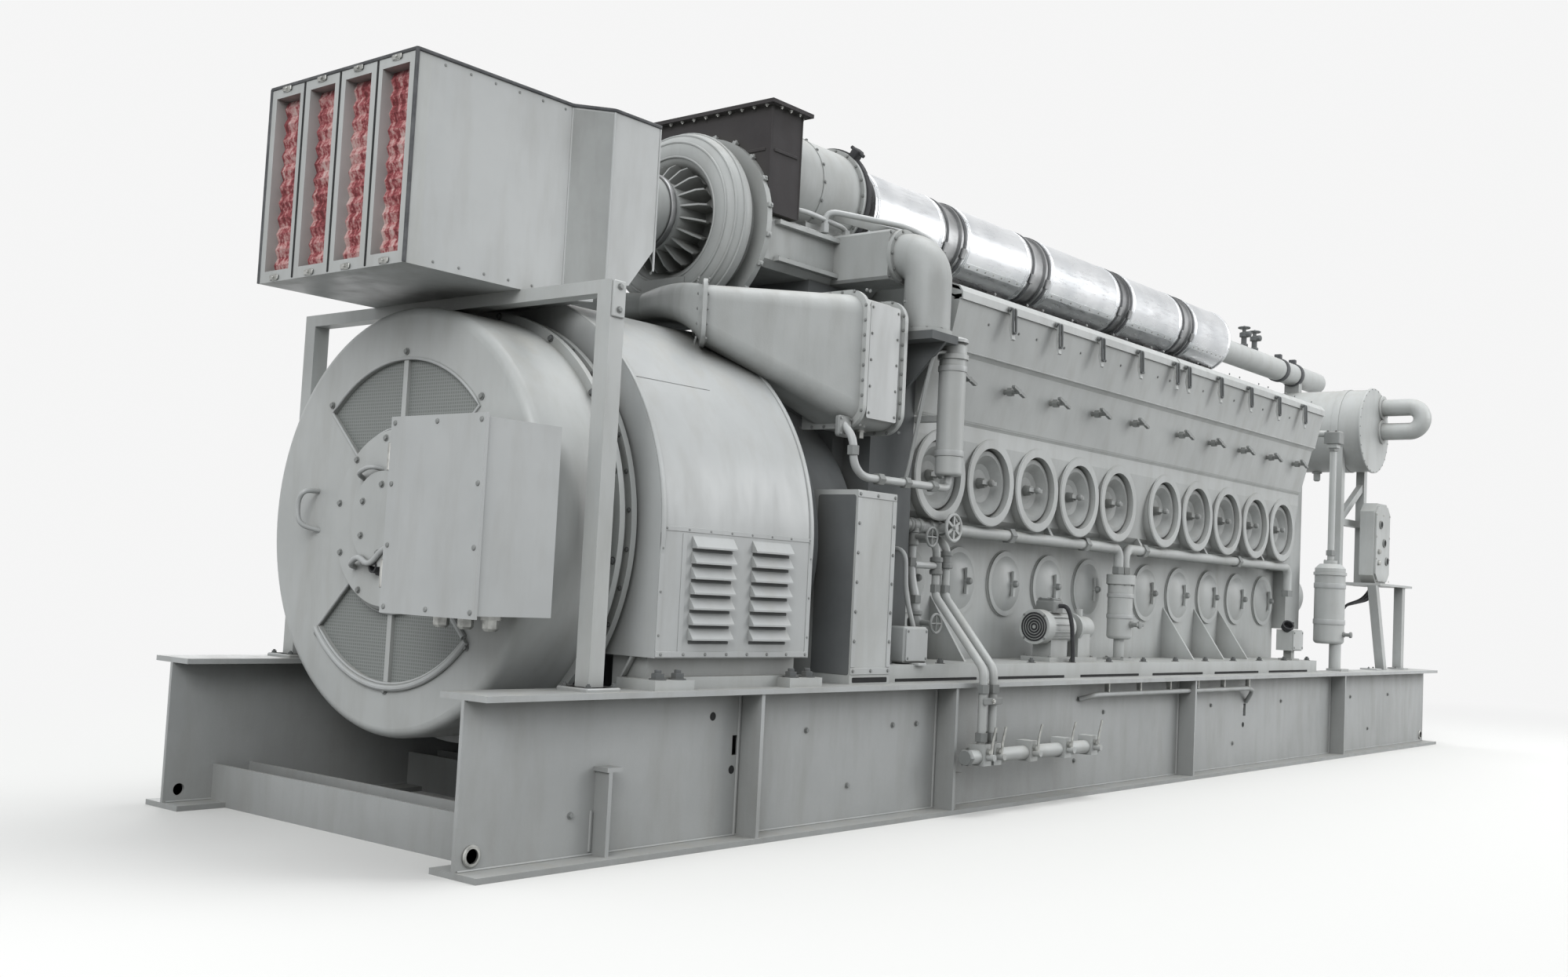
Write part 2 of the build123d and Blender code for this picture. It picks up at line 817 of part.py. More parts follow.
def scoop():
    """Low cross outlet under the scroll that curves out to the mouth of each charge duct."""
    z = scoop_top_z - scoop_h / 2
    middle = Plane(origin=(scoop_mid_x, 0, z), x_dir=(-1, 0, 0), z_dir=(0, 1, 0))
    knee = Plane(origin=(scoop_mid_x - 130, 235, z - 20), x_dir=(-1, 0.25, 0), z_dir=(0.25, 1, 0))
    sections = [
        middle * RectangleRounded(scoop_w, scoop_h, 40),
        knee * RectangleRounded(scoop_w - 20, scoop_h + 30, 48),
        duct_mouth(0),
    ]
    arm = loft(sections)
    arm += extrude(duct_mouth(mouth_lip_thick, mouth_lip), mouth_lip_thick)
    body = arm + far(arm)
    body += span(scoop_mid_x - 20, scroll_rear_x, -120, 120, scoop_top_z - scoop_h + 6, turbo_z - 250)
    body -= scroll_envelope()
    body -= rod_x(cover_half + cover_clear, cover_front_x, cover_rear_x + cover_clear, 0, crank_z)
    return body


def scroll_envelope():
    """Space taken by the scroll, with the seat gap round it."""
    ring_mid = scroll_r - scroll_tube_r
    tube_r = scroll_tube_r + seat_gap
    tube = Plane(origin=(scroll_x, 0, turbo_z + ring_mid), z_dir=(0, 1, 0)) * Circle(tube_r)
    ring = revolve(tube, Axis((0, 0, turbo_z), (1, 0, 0)))
    ring += rod_x(ring_mid + 20 + seat_gap, scroll_x - tube_r, gear_front_x, 0, turbo_z)
    lip_r = scroll_r + scroll_back_lip + 1
    return ring + rod_x(lip_r, scroll_rear_x - 1, gear_front_x, 0, turbo_z)


def rear_housing():
    """End housing of the engine: full-width below, narrowing to a neck under the gear case."""
    z0 = beam_depth + rail_thick
    plan = [
        (coupling_rear_x, -cooler_y0), (cooler_x1, -cooler_y0), (cooler_x1, -rear_housing_half),
        (block_rear_x, -rear_housing_half), (block_rear_x, rear_housing_half),
        (cooler_x1, rear_housing_half), (cooler_x1, cooler_y0), (coupling_rear_x, cooler_y0),
    ]
    base = Pos(0, 0, z0) * make_face(Polyline(*plan, close=True))
    body = extrude(base, rear_shoulder_z - z0)
    body += span(coupling_rear_x, block_rear_x, -rear_neck_half, rear_neck_half, rear_shoulder_z, gear_z0)
    pad_z0 = elbow_pad_z - elbow_pad_thick
    pad_y1 = elbow_y + elbow_r + elbow_lip / 2
    pad = span(elbow_x - elbow_r - 15, elbow_x + 80, rear_housing_half - 60, pad_y1, pad_z0, elbow_pad_z)
    pad += prism_x(
        [(rear_housing_half, pad_z0), (pad_y1, pad_z0), (rear_housing_half, pad_z0 - 240)],
        elbow_x - gusset_thick, elbow_x,
    )
    for solid in both(pad):
        body += solid
    return body


def air_elbow():
    """Short elbow from the gear case's side branch down onto the end housing's pad, far side."""
    top = (gear_z0 + gear_z1) / 2
    path = [(elbow_x, branch_end_y, top), (elbow_x, elbow_y, top), (elbow_x, elbow_y, elbow_pad_z)]
    elbow = pipe_run(path, elbow_r, elbow_y - branch_end_y - elbow_flange - 2)
    elbow += rod_y(elbow_r + elbow_lip, elbow_x, branch_end_y, branch_end_y + elbow_flange, top)
    foot_r = elbow_r + elbow_lip / 2
    elbow += rod_z(foot_r, elbow_x, elbow_y, elbow_pad_z, elbow_pad_z + elbow_flange)
    return elbow


def block_outline():
    """Half cross-section of the crankcase, then its mirror image."""
    half = [
        (pan_half, block_bottom_z), (block_foot_half - foot_step, block_bottom_z + foot_low),
        (block_foot_half, block_bottom_z + foot_high), (block_half, port_z + 170),
        (block_half, panel_z - 20), (block_half + 15, panel_z), (deck_shoulder_half, deck_edge_z - 20),
        (deck_edge_half, deck_edge_z), (valley_half, valley_z),
    ]
    return half + [(-y, z) for y, z in reversed(half)]


valley_z = deck_edge_z + (deck_edge_half - valley_half) * math.tan(math.radians(bank_angle))


def crankcase():
    """Welded crankcase: two leaning banks, round collared inspection ports down each side."""
    body = prism_x(block_outline(), block_rear_x, block_front_x)
    for x in stations:
        collar = rod_y(port_collar_r, x, port_floor_y - 40, block_half + 6, port_z)
        body += collar
        body += far(collar)
    for x in stations:
        bore = rod_y(port_bore_r, x, port_floor_y, block_half + 20, port_z)
        body -= bore
        body -= far(bore)
    deck_lip = deck_outer_top_half + deck_wall
    notch = span(block_rear_x - 1, deck_rear_x, valley_half + 60, deck_lip, rear_shoulder_z, valley_z + 1)
    body -= notch
    return body - far(notch)


def cover_clamp(rise, turn):
    """Bolt through a cover's middle with the bar that is turned to free the cover."""
    clamp = Pos(0, rise, 0) * Rot(90, 0, 0) * Cylinder(cover_bolt_r, 36)
    return clamp + Pos(0, rise + 8, 0) * Rot(0, turn, 0) * Box(2 * cover_bar, 14, 18)


def port_cover(x):
    """Inspection cover set into its port: dished towards its middle, with a boss, far side."""
    r = port_cover_r
    rise = port_cover_rise
    bowl_r = 0.42 * r
    profile = [
        (0, 0), (r, 0), (r, rise - 6), (r - 6, rise), (r - cover_rim, rise), (bowl_r + 26, cover_floor + 8),
        (bowl_r, cover_floor), (cover_boss_r, cover_floor), (cover_boss_r - 4, rise - 8), (0, rise - 8),
    ]
    cover = revolve(make_face(Polyline(*profile, close=True)), Axis.Y)
    return Pos(x, port_floor_y, port_z) * (cover + cover_clamp(rise, 0))


def oil_pan():
    """Oil pan: straight-sided upper part and a narrower sump between the beams."""
    top = block_bottom_z
    outline = [
        (-pan_sump_half, pan_bottom_z), (pan_sump_half, pan_bottom_z), (pan_half, beam_depth),
        (pan_half, top), (-pan_half, top), (-pan_half, beam_depth),
    ]
    return prism_x(outline, block_rear_x, pan_front_x)


def pan_cover(x):
    """Hand-hole cover on the pan's side wall: a dome pressed out of a flat rim, far side."""
    r = pan_cover_r
    dome_r = r - cover_rim
    crown = pan_cover_rise - pan_cover_lip
    ball_r = (dome_r ** 2 + crown ** 2) / (2 * crown)
    middle = (0.5 * dome_r, pan_cover_rise - ball_r + (ball_r ** 2 - (0.5 * dome_r) ** 2) ** 0.5)
    rim = Polyline((0, pan_cover_rise), (0, 0), (r, 0), (r, pan_cover_lip), (dome_r, pan_cover_lip))
    dome = ThreePointArc((dome_r, pan_cover_lip), middle, (0, pan_cover_rise))
    cover = revolve(make_face(rim + dome), Axis.Y)
    return Pos(x, pan_half, pan_cover_z) * (cover + cover_clamp(pan_cover_rise, 90))


def base_rail():
    """Rail that carries the engine on the beam's top flange, with gussets up to the pan."""
    top = beam_depth + rail_thick
    rail = span(coupling_rear_x, block_front_x, pan_half, rail_outer, beam_depth, top)
    for x in gusset_x:
        points = [(pan_half, top), (pan_half + gusset_reach, top), (pan_half, top + gusset_rise)]
        rail += prism_x(points, x, x + gusset_thick)
    return rail


def deck_trough():
    """Top deck box of one bank: two open bays, hinge ears inboard and latches outboard."""
    seat_y = deck_outer_top_half - deck_seat
    outline = [
        (deck_edge_half, deck_edge_z), (deck_outer_top_half, deck_outer_top_z),
        (seat_y, deck_outer_top_z), (seat_y, deck_outer_top_z + 12),
        (valley_half, deck_inner_top_z), (valley_half, valley_z),
    ]
    body = prism_x(outline, deck_rear_x, block_front_x)
    bays = [(deck_rear_x - deck_wall, deck_mid_x), (deck_mid_x, block_front_x + deck_wall)]
    cut = [
        (deck_edge_half - deck_wall, deck_edge_z - 10),
        (deck_outer_top_half - deck_wall, deck_outer_top_z + 60),
        (valley_half + deck_wall, deck_inner_top_z + 60), (valley_half + deck_wall, valley_z - 10),
    ]
    for x0, x1 in bays:
        body -= prism_x(cut, x0 + 2 * deck_wall, x1 - 2 * deck_wall)
    for x in ear_stations():
        for side in (-1, 1):
            x0 = x + side * (knuckle_length / 2 + 1)
            x1 = x0 + side * deck_wall
            ear = rod_x(knuckle_r - 2, x0, x1, lid_hinge_y, lid_hinge_z)
            ear += span(x0, x1, lid_hinge_y - knuckle_r + 2, valley_half, deck_inner_top_z - 60, lid_hinge_z)
            body += ear
        reach = knuckle_length / 2 + deck_wall
        body += rod_x(pin_r, x - reach, x + reach, lid_hinge_y, lid_hinge_z)
    return body


def lid_spans():
    """Rear and front ends of the two lids of a bank."""
    half_gap = lid_end_gap / 2
    return [(lid_rear_x, deck_mid_x - half_gap), (deck_mid_x + half_gap, lid_front_x)]


def ear_stations():
    """Stations of the hinge knuckles of both lids."""
    stations_x = []
    for x0, x1 in lid_spans():
        step = (x1 - x0) / knuckles_per_lid
        stations_x += [x0 + (k + 0.5) * step for k in range(knuckles_per_lid)]
    return stations_x


def latch(x):
    """Over-centre latch handle that hangs from a lid's outer skirt, far side."""
    y = lid_edge_half
    z = deck_outer_top_z
    low = z - latch_drop
    outline = [
        (y - 2, z + 30), (y + 18, z + 26), (y + 22, z - 8), (y + 14, z - 66), (y + 26, low + 4),
        (y + 18, low), (y + 5, z - 66), (y + 11, z - 8), (y - 2, z + 4),
    ]
    return prism_x(outline, x - latch_width / 2, x + latch_width / 2)


def deck_lid(x0, x1):
    """Formed lid: sloping sheet, rolled outer edge, end skirts, latches and hinge knuckles."""
    slope = (lid_hinge_z - lid_edge_z) / (lid_edge_half - lid_hinge_y)

    def top_at(y):
        return lid_hinge_z + lid_sheet - slope * (y - lid_hinge_y)

    y0 = lid_hinge_y + knuckle_r + 5
    y1 = lid_edge_half
    low = deck_outer_top_z + seat_gap
    sheet = lid_sheet
    roll = 22
    outline = [
        (y0, top_at(y0)), (y1 - roll, top_at(y1 - roll)), (y1, top_at(y1) - roll), (y1, low),
        (y1 - sheet * 3, low), (y1 - sheet * 3, low + sheet), (y1 - sheet, low + sheet),
        (y1 - sheet, top_at(y1) - roll - 3), (y1 - roll - 3, top_at(y1 - roll) - sheet),
        (y0, top_at(y0) - sheet),
    ]
    lid = prism_x(outline, x0, x1)
    skirt_y = y1 - sheet - 1
    end = [
        (y0 + 30, top_at(y0 + 30) - 1), (y0 + 30, deck_inner_top_z + 3),
        (deck_outer_top_half - deck_seat, low + 22),
        (skirt_y, low + 22), (skirt_y, top_at(y1) - roll),
    ]
    lid += prism_x(end, x0, x0 + sheet)
    lid += prism_x(end, x1 - sheet, x1)
    for x in ear_stations():
        if x0 < x < x1:
            a = x - knuckle_length / 2
            b = x + knuckle_length / 2
            lid += rod_x(knuckle_r, a, b, lid_hinge_y, lid_hinge_z)
            lid += span(a, b, lid_hinge_y, y0 + 12, lid_hinge_z - 4, lid_hinge_z + 2)
            lid -= rod_x(pin_r + running_gap, a - 1, b + 1, lid_hinge_y, lid_hinge_z)
    for index in range(cylinders_per_bank):
        x = cylinder_x(index, latch_shift, latch_gap)
        if x0 < x < x1:
            lid += latch(x)
    return lid


def cylinder_head(x):
    """Cylinder head with its rocker gear, square to the far bank."""
    mid_y = (deck_edge_half + valley_half) / 2
    mid_z = (deck_edge_z + valley_z) / 2
    z1 = head_thick
    head = Pos(0, 0, z1 / 2) * Cylinder(head_r, z1)
    head += Pos(0, 0, z1 + rocker_height / 2) * Box(rocker_length, rocker_width, rocker_height)
    for dx in (-85, 0, 85):
        arm_z = z1 + rocker_height + 15
        head += Pos(dx, 0, arm_z) * Box(30, 190, 30)
    head += Pos(0, 62, z1 + 45) * Cylinder(24, 90)
    return Pos(x, mid_y, mid_z) * Rot(-bank_angle, 0, 0) * Pos(0, 0, seat_gap) * head


def lagging_sections():
    """Lagging sleeves over the exhaust manifold."""
    parts = []
    for x0, x1 in lagging_spans:
        sleeve = rod_x(lagging_r, x0, x1, 0, manifold_z)
        sleeve -= rod_x(manifold_r + seat_gap, x0 - 1, x1 + 1, 0, manifold_z)
        parts.append(sleeve)
    return parts


def lagging_bands():
    """Paired bands over the joints between the lagging sleeves."""
    parts = []
    for (_, a), (b, _) in zip(lagging_spans, lagging_spans[1:]):
        x0 = a + band_gap
        x1 = b - band_gap
        width = (x1 - x0) / 4
        band = rod_x(band_r, x0, x1, 0, manifold_z)
        band += rod_x(lagging_r, x0, x0 + width, 0, manifold_z)
        band += rod_x(lagging_r, x1 - width, x1, 0, manifold_z)
        band -= rod_x(manifold_r + seat_gap, x0 - 1, x1 + 1, 0, manifold_z)
        parts.append(band)
    return parts


def exhaust_risers():
    """Risers from the heads' valley into the manifold, one a cylinder pair."""
    clear = rod_x(lagging_r + seat_gap, manifold_x0, manifold_x1, 0, manifold_z)
    outline = [(-115, valley_z), (115, valley_z), (riser_r, manifold_z), (-riser_r, manifold_z)]
    return [prism_x(outline, x - riser_r, x + riser_r) - clear for x in stations]


def vent_pipe():
    """Pipe from the manifold's end over the expansion tank, on a saddle."""
    x0 = manifold_x1 + vent_joint
    pipe = rod_x(vent_r, x0, vent_end_x, 0, manifold_z)
    pipe += rod_x(vent_r + 26, x0, x0 + 24, 0, manifold_z)
    saddle = span(tank_x - 30, tank_x + 30, -55, 55, tank_z, manifold_z)
    saddle -= rod_y(tank_r + seat_gap, tank_x, -100, 100, tank_z)
    return pipe + saddle


def test_valve(x):
    """T-handled cylinder test valve on the leaning panel, far side."""
    lean = (valve_z - panel_z) / (deck_edge_z - 20 - panel_z)
    wall_y = block_half + 15 + lean * (deck_shoulder_half - block_half - 15)
    end_y = wall_y + valve_length
    stem = rod_y(valve_r, x, wall_y - 20, end_y, valve_z)
    nut = extrude(RegularPolygon(valve_nut_r, 6), 26)
    stem += Pos(x, wall_y + 44, valve_z) * Rot(90, 0, 0) * nut
    handle = Box(valve_handle, 16, 14)
    handle = fillet(handle.edges().filter_by(Axis.Y), 6)
    return stem + Pos(x, end_y - 8, valve_z) * Rot(0, valve_turn, 0) * handle


def accessory_case():
    """Gear case on the free end, stepped over the front of the pan."""
    outline = [
        (-gearcase_half, gearcase_z0), (gearcase_half, gearcase_z0), (gearcase_half, gearcase_z1 - 90),
        (gearcase_half - 90, gearcase_z1), (-gearcase_half + 90, gearcase_z1),
        (-gearcase_half, gearcase_z1 - 90),
    ]
    side = [
        (gearcase_rear_x, block_bottom_z), (pan_front_x, block_bottom_z), (pan_front_x, gearcase_z0 - 1),
        (gearcase_front_x, gearcase_z0 - 1), (gearcase_front_x, gearcase_z1 + 1),
        (gearcase_rear_x, gearcase_z1 + 1),
    ]
    body = prism_x(outline, gearcase_rear_x, gearcase_front_x)
    return body & prism_y(side, -gearcase_half - 1, gearcase_half + 1)


def water_pump():
    """Water pump on the gear case's face: volute, suction nozzle and cover, far side."""
    y = 300
    z = 1020
    x0 = gearcase_front_x
    pump = rod_x(90, x0, x0 + 120, y, z)
    pump += rod_x(165, x0 + 120, x0 + 220, y, z)
    pump += rod_x(75, x0 + 220, x0 + 330, y, z)
    pump += rod_x(105, x0 + 310, x0 + 330, y, z)
    return pump


def expansion_tank():
    """Shell of the horizontal expansion tank."""
    shell = rod_y(tank_r, tank_x, -tank_half, tank_half, tank_z)
    return shell - rod_y(tank_r - 6, tank_x, -tank_half - 1, tank_half + 1, tank_z)


def tank_end():
    """Flat rimmed end of the expansion tank, far side."""
    end = rod_y(tank_r + tank_rim, tank_x, tank_half, tank_half + tank_end_thick, tank_z)
    return chamfer(end.edges().filter_by(GeomType.CIRCLE).group_by(Axis.Y)[-1], 4)


def return_bend():
    """Return bend on the tank's near end."""
    x = tank_x + bend_shift
    y0 = -tank_half - tank_end_thick
    z1 = tank_z + bend_rise + bend_r
    z0 = tank_z + bend_rise - bend_r
    path = [(x, y0, z1), (x, -bend_reach, z1), (x, -bend_reach, z0), (x, y0, z0)]
    return pipe_run(path, bend_pipe_r, bend_r - 0.1)


def tank_stand():
    """Stand under the tank: leaning leg and post, shelf, braced uprights, far side."""
    half = stand_tube / 2
    stand = span(stand_x0 - 90, stand_x1 + 140, 440, 790, shelf_z, shelf_z + shelf_thick)
    leg = [
        (stand_x0 - leg_lean / 2 - half, shelf_z), (stand_x0 - leg_lean / 2 + half, shelf_z),
        (stand_x0 + leg_lean / 2 + half, beam_depth), (stand_x0 + leg_lean / 2 - half, beam_depth),
    ]
    stand += prism_y(leg, stand_post_y - half, stand_post_y + half)
    post_y0 = stand_post_y - half
    post_y1 = stand_post_y + half
    stand += span(stand_x1 - half, stand_x1 + half, post_y0, post_y1, beam_depth, shelf_z)
    clear = rod_y(tank_r + seat_gap, tank_x, 0, 700, tank_z)
    y0 = stand_upright_y - half
    y1 = stand_upright_y + half
    for x in (stand_x0, stand_x1):
        stand += span(x - half, x + half, y0, y1, shelf_z, tank_z) - clear
    tie = span(stand_x0, stand_x1, y0, y1, brace_z0, brace_z0 + brace_depth)
    brace = [
        (stand_x0, brace_z0), (stand_x0, brace_z0 + brace_depth * 1.3),
        (stand_x1, brace_z1), (stand_x1, brace_z1 - brace_depth * 1.3),
    ]
    return stand + tie + prism_y(brace, y0 + 10, y1 - 10)


def canister(x, y, r, z0, z1):
    """Upright filter canister with a domed head and a clamp ring."""
    body = rod_z(r, x, y, z0, z1)
    body = fillet(body.edges().group_by(Axis.Z)[0], r * 0.25)
    body = chamfer(body.edges().group_by(Axis.Z)[-1], r * 0.3)
    body += rod_z(r + 8, x, y, z1 - 75, z1 - 55)
    return body


def control_box():
    """Engine control box on the near shelf, corners cut off, with round gauge recesses."""
    z0 = shelf_z + shelf_thick
    box = span(control_x0, control_x1, -control_y1, -control_y0, z0, control_top_z)
    box = chamfer(box.edges().filter_by(Axis.Y), control_chamfer)
    door = span(control_x0 + 15, control_x1 - 15, -control_y1 - 14, -control_y1, z0 + 20, control_top_z - 20)
    door = chamfer(door.edges().filter_by(Axis.Y), control_chamfer - 8)
    middle = (control_x0 + control_x1) / 2
    for dx, dz in control_holes:
        door -= rod_y(control_hole_r, middle + dx, -control_y1 - 15, -control_y1 - 6, z0 + dz)
    return box + door


def fuel_filter():
    """Fuel filter canister on a foot, its riser arched over to the gear case's top."""
    x = fuel_filter_x
    y = -fuel_filter_y
    body = canister(x, y, fuel_filter_r, fuel_filter_z0, fuel_filter_z1)
    body += rod_z(38, x, y - 45, beam_depth, fuel_filter_z0 + 12)
    body += span(x - 70, x + 70, y - 115, y - 15, beam_depth, beam_depth + 14)
    body += rod_z(filter_riser_r + 22, x, y, fuel_filter_z1 - 5, fuel_filter_z1 + 24)
    top = riser_top_z
    path = [
        (x, y, fuel_filter_z1 - 10), (x, y, top), (riser_in_x, -riser_in_y, top),
        (riser_in_x, -riser_in_y, gearcase_z1),
    ]
    body += span(x - 34, x + 34, y - 34, y + 34, top - 96, top - 40)
    return body + pipe_run(path, filter_riser_r, 60)


def lube_filter():
    """Slim canister on a bracket at the rear corner of the block."""
    x = lube_filter_x
    y = -lube_filter_y
    body = canister(x, y, lube_filter_r, lube_filter_z0, lube_filter_z1)
    z = panel_z - 50
    bracket = span(block_rear_x + 2, x + 40, y, -block_half, z, z + 24)
    return body + bracket


def soakback_pump():
    """Finned electric motor and gear pump on a common base on the near rail."""
    y = -pump_y
    base_z = beam_depth + rail_thick
    body = rod_x(motor_r, motor_x0 + fan_cowl, motor_x1, y, pump_z)
    body += rod_x(motor_r + 8, motor_x0, motor_x0 + fan_cowl, y, pump_z)
    for index in range(motor_fins):
        turn = 360 / motor_fins * index
        fin_x = (motor_x0 + fan_cowl + motor_x1 - 20) / 2
        fin = Pos(0, 0, motor_r) * Box(motor_x1 - motor_x0 - fan_cowl - 20, 6, 14)
        body += Pos(fin_x, y, pump_z) * Rot(turn, 0, 0) * fin
    coupling_end = motor_x1 + 70
    body += rod_x(38, motor_x1, coupling_end, y, pump_z)
    body += rod_x(pump_body_r + 14, coupling_end, coupling_end + 20, y, pump_z)
    body += rod_x(pump_body_r, coupling_end + 20, pump_x1, y, pump_z)
    body += span(motor_x0 + 20, pump_x1 - 10, y - 80, y + 80, base_z, base_z + 22)
    for x0, x1 in ((motor_x0 + 80, motor_x1 - 40), (coupling_end, pump_x1 - 30)):
        body += span(x0, x1, y - 50, y + 50, base_z + 22, pump_z)
    stub_x = pump_x1 - 60
    body += rod_y(stub_r, stub_x, y, -pan_half, pump_z)
    return body + rod_z(stub_r, stub_x, y, pump_z, pump_z + pump_body_r + 36)


def junction_box():
    """Junction box on a short post beside the pan, near side."""
    z0 = beam_depth + rail_thick
    x0 = junction_x - 25
    post = span(x0, x0 + 50, -junction_y - 25, -junction_y + 25, z0 + 10, junction_z0)
    post += span(junction_x - 60, junction_x + 60, -junction_y - 45, -junction_y + 45, z0, z0 + 10)
    y0 = -junction_y - 50
    box = span(junction_x - 85, junction_x + 85, y0, y0 + 100, junction_z0, junction_z1)
    lid = span(junction_x - 78, junction_x + 78, y0 - 10, y0, junction_z0 + 7, junction_z1 - 7)
    return post + box + lid


def fuel_strainer():
    """Upright strainer on the near rail, under the gallery pipe."""
    x = strainer_x
    y = -strainer_y
    base_z = beam_depth + rail_thick
    body = rod_z(strainer_r, x, y, strainer_z0, strainer_z1 - 50)
    body = fillet(body.edges().group_by(Axis.Z)[0], 20)
    body += rod_z(strainer_r + 10, x, y, strainer_z1 - 50, strainer_z1)
    body += rod_z(28, x, y, base_z + 12, strainer_z0)
    return body + span(x - 60, x + 60, y - 60, y + 60, base_z, base_z + 12)


def gallery_pipe():
    """Two runs of pipe under the overhang, each turned down to the strainer, with clips."""
    y = -strainer_y
    half = gallery_clip / 2
    clip = [
        (-block_foot_half, block_bottom_z + foot_high),
        (-block_foot_half + foot_step, block_bottom_z + foot_low),
        (y + half, gallery_z - 6), (y - half, gallery_z - 6), (y - half, gallery_z + gallery_r),
    ]
    parts = []
    for x_end, side in ((gallery_x0, -1), (gallery_x1, 1)):
        x = strainer_x + side * strainer_span
        path = [(x_end, y, gallery_z), (x, y, gallery_z), (x, y, strainer_z1)]
        if side > 0:
            path.insert(0, (x_end, y, gallery_z - gallery_drop))
        run = pipe_run(path, gallery_r, 60)
        for cx in clip_x:
            if (cx - strainer_x) * side > 0:
                run += prism_x(clip, cx - half, cx + half)
        parts.append(run)
    return parts


def gallery_valve():
    """Stop valve on the gallery pipe's alternator end, with its handwheel to the front."""
    x1 = gallery_x0
    x0 = x1 - gallery_valve_length
    x = (x0 + x1) / 2
    y = -strainer_y
    r = gallery_valve_r
    body = rod_x(gallery_r + 7, x1 - 18, x1, y, gallery_z)
    body += rod_x(gallery_r + 7, x0, x0 + 18, y, gallery_z)
    body += rod_x(gallery_r, x0, x1, y, gallery_z)
    body += Pos(x, y, gallery_z) * Sphere(r)
    wheel_y = y - r - 60
    body += rod_y(gallery_r - 6, x, wheel_y + 20, y, gallery_z)
    body += rod_y(9, x, wheel_y - 16, wheel_y + 20, gallery_z)
    body += Pos(x, wheel_y, gallery_z) * Rot(90, 0, 0) * Torus(gallery_wheel_r, 8)
    for turn in (30, 90, 150):
        body += Pos(x, wheel_y, gallery_z) * Rot(0, turn, 0) * Box(2 * gallery_wheel_r, 8, 12)
    return body


def side_drain_pipes():
    """Two bent pipes from the pan over the near beam to the drain manifold."""
    parts = []
    for x0, x1 in zip(drain_start_x, drain_x):
        path = [
            (x0, -pan_half, drain_start_z), (x0, -pan_half - 180, drain_start_z),
            (x0, -pan_half - 180, drain_knee_z),
            (x1, -drain_y, drain_turn_z), (x1, -drain_y, drain_block_top),
        ]
        parts.append(pipe_run(path, drain_pipe_r - 6, 70))
    return parts


def drain_manifold():
    """Drain manifold with valve blocks, on brackets from the near beam's web."""
    y = -drain_y
    z = drain_manifold_z
    r = drain_manifold_r
    body = rod_x(r, drain_manifold_x0, drain_manifold_x1, y, z)
    for x in drain_block_x:
        body += span(x - 30, x + 30, y - r - 6, y + r + 6, z - r - 6, drain_block_top)
        body += rod_y(14, x, y - r - 40, y - r, z)
    for x in (drain_block_x[1] + 60, drain_block_x[-1] - 60):
        body += span(x - 8, x + 8, y, -beam_y - web_thick / 2, z - 15, z + 15)
    return body


write("skid_beams", *both(skid_beam()))
write("skid_cross_members", *[cross_member(x, cross_width) for x in cross_x])
write("alternator_end_bell", end_bell())
write("alternator_screens", *screens())
write("alternator_terminal_box", terminal_box())
write("alternator_bearing_cover", bearing_cover())
write("alternator_stator_frame", stator_frame())
write("alternator_cover", stator_cover())
write("alternator_feet", *alternator_feet())
write("alternator_rear_bell", rear_bell())
write("coupling_housing", coupling_housing())
write("filter_housing", filter_housing())
write("filter_frames", filter_frames())
write("filter_media", *filter_media())
write("filter_stand", *filter_stand())
write("turbo_inlet", turbo_inlet())
write("turbo_scroll", turbo_scroll())
write("turbo_gear_case", gear_case())
write("exhaust_duct", exhaust_duct())
write("manifold_adapter", manifold_adapter())
write("aftercoolers", *both(aftercooler()))
write("charge_ducts", *both(charge_duct()))
write("rear_end_housing", rear_housing())
write("air_elbows", *both(air_elbow()))
block = crankcase()
write("crankcase", block)
covers = []
for x in stations:
    covers += both(port_cover(x))
write("port_covers", *covers)
write("oil_pan", oil_pan())
pan_covers = []
for i in range(cylinders_per_bank):
    pan_covers += both(pan_cover(cylinder_x(i, pan_cover_shift, pan_centre_gap)))
write("pan_covers", *pan_covers)
write("engine_base_rails", *both(base_rail()))
write("deck_troughs", *both(deck_trough()))
for place, (x0, x1) in zip(("rear", "front"), lid_spans()):
    lid = deck_lid(x0, x1)
    write(f"deck_lid_far_{place}", lid)
    write(f"deck_lid_near_{place}", far(lid))
heads = []
for x in stations:
    heads += both(cylinder_head(x))
write("cylinder_heads", *heads)
write("exhaust_manifold", rod_x(manifold_r, manifold_x0, manifold_x1 + vent_joint, 0, manifold_z))
write("exhaust_risers", *exhaust_risers())
write("lagging_sections", *lagging_sections())
write("lagging_bands", *lagging_bands())
write("vent_pipe", vent_pipe())
valves = []
for x in stations:
    valves += both(test_valve(x) - block)
write("test_valves", *valves)
write("accessory_gear_case", accessory_case())
write("water_pumps", *both(water_pump()))
write("expansion_tank", expansion_tank(), *both(tank_end()))
write("tank_return_bend", return_bend())
write("tank_stand", *both(tank_stand()))
write("charge_scoop", scoop())
write("engine_control_box", control_box())
write("fuel_filter", fuel_filter())
write("lube_filter", lube_filter())
write("soakback_pump", soakback_pump())
write("fuel_strainer", fuel_strainer())
write("junction_box", junction_box())
write("gallery_pipe", *gallery_pipe())
write("gallery_valve", gallery_valve())
write("side_drain_pipes", *side_drain_pipes())
write("drain_manifold", drain_manifold())
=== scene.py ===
import math

import bpy
import numpy as np
from mathutils import Matrix


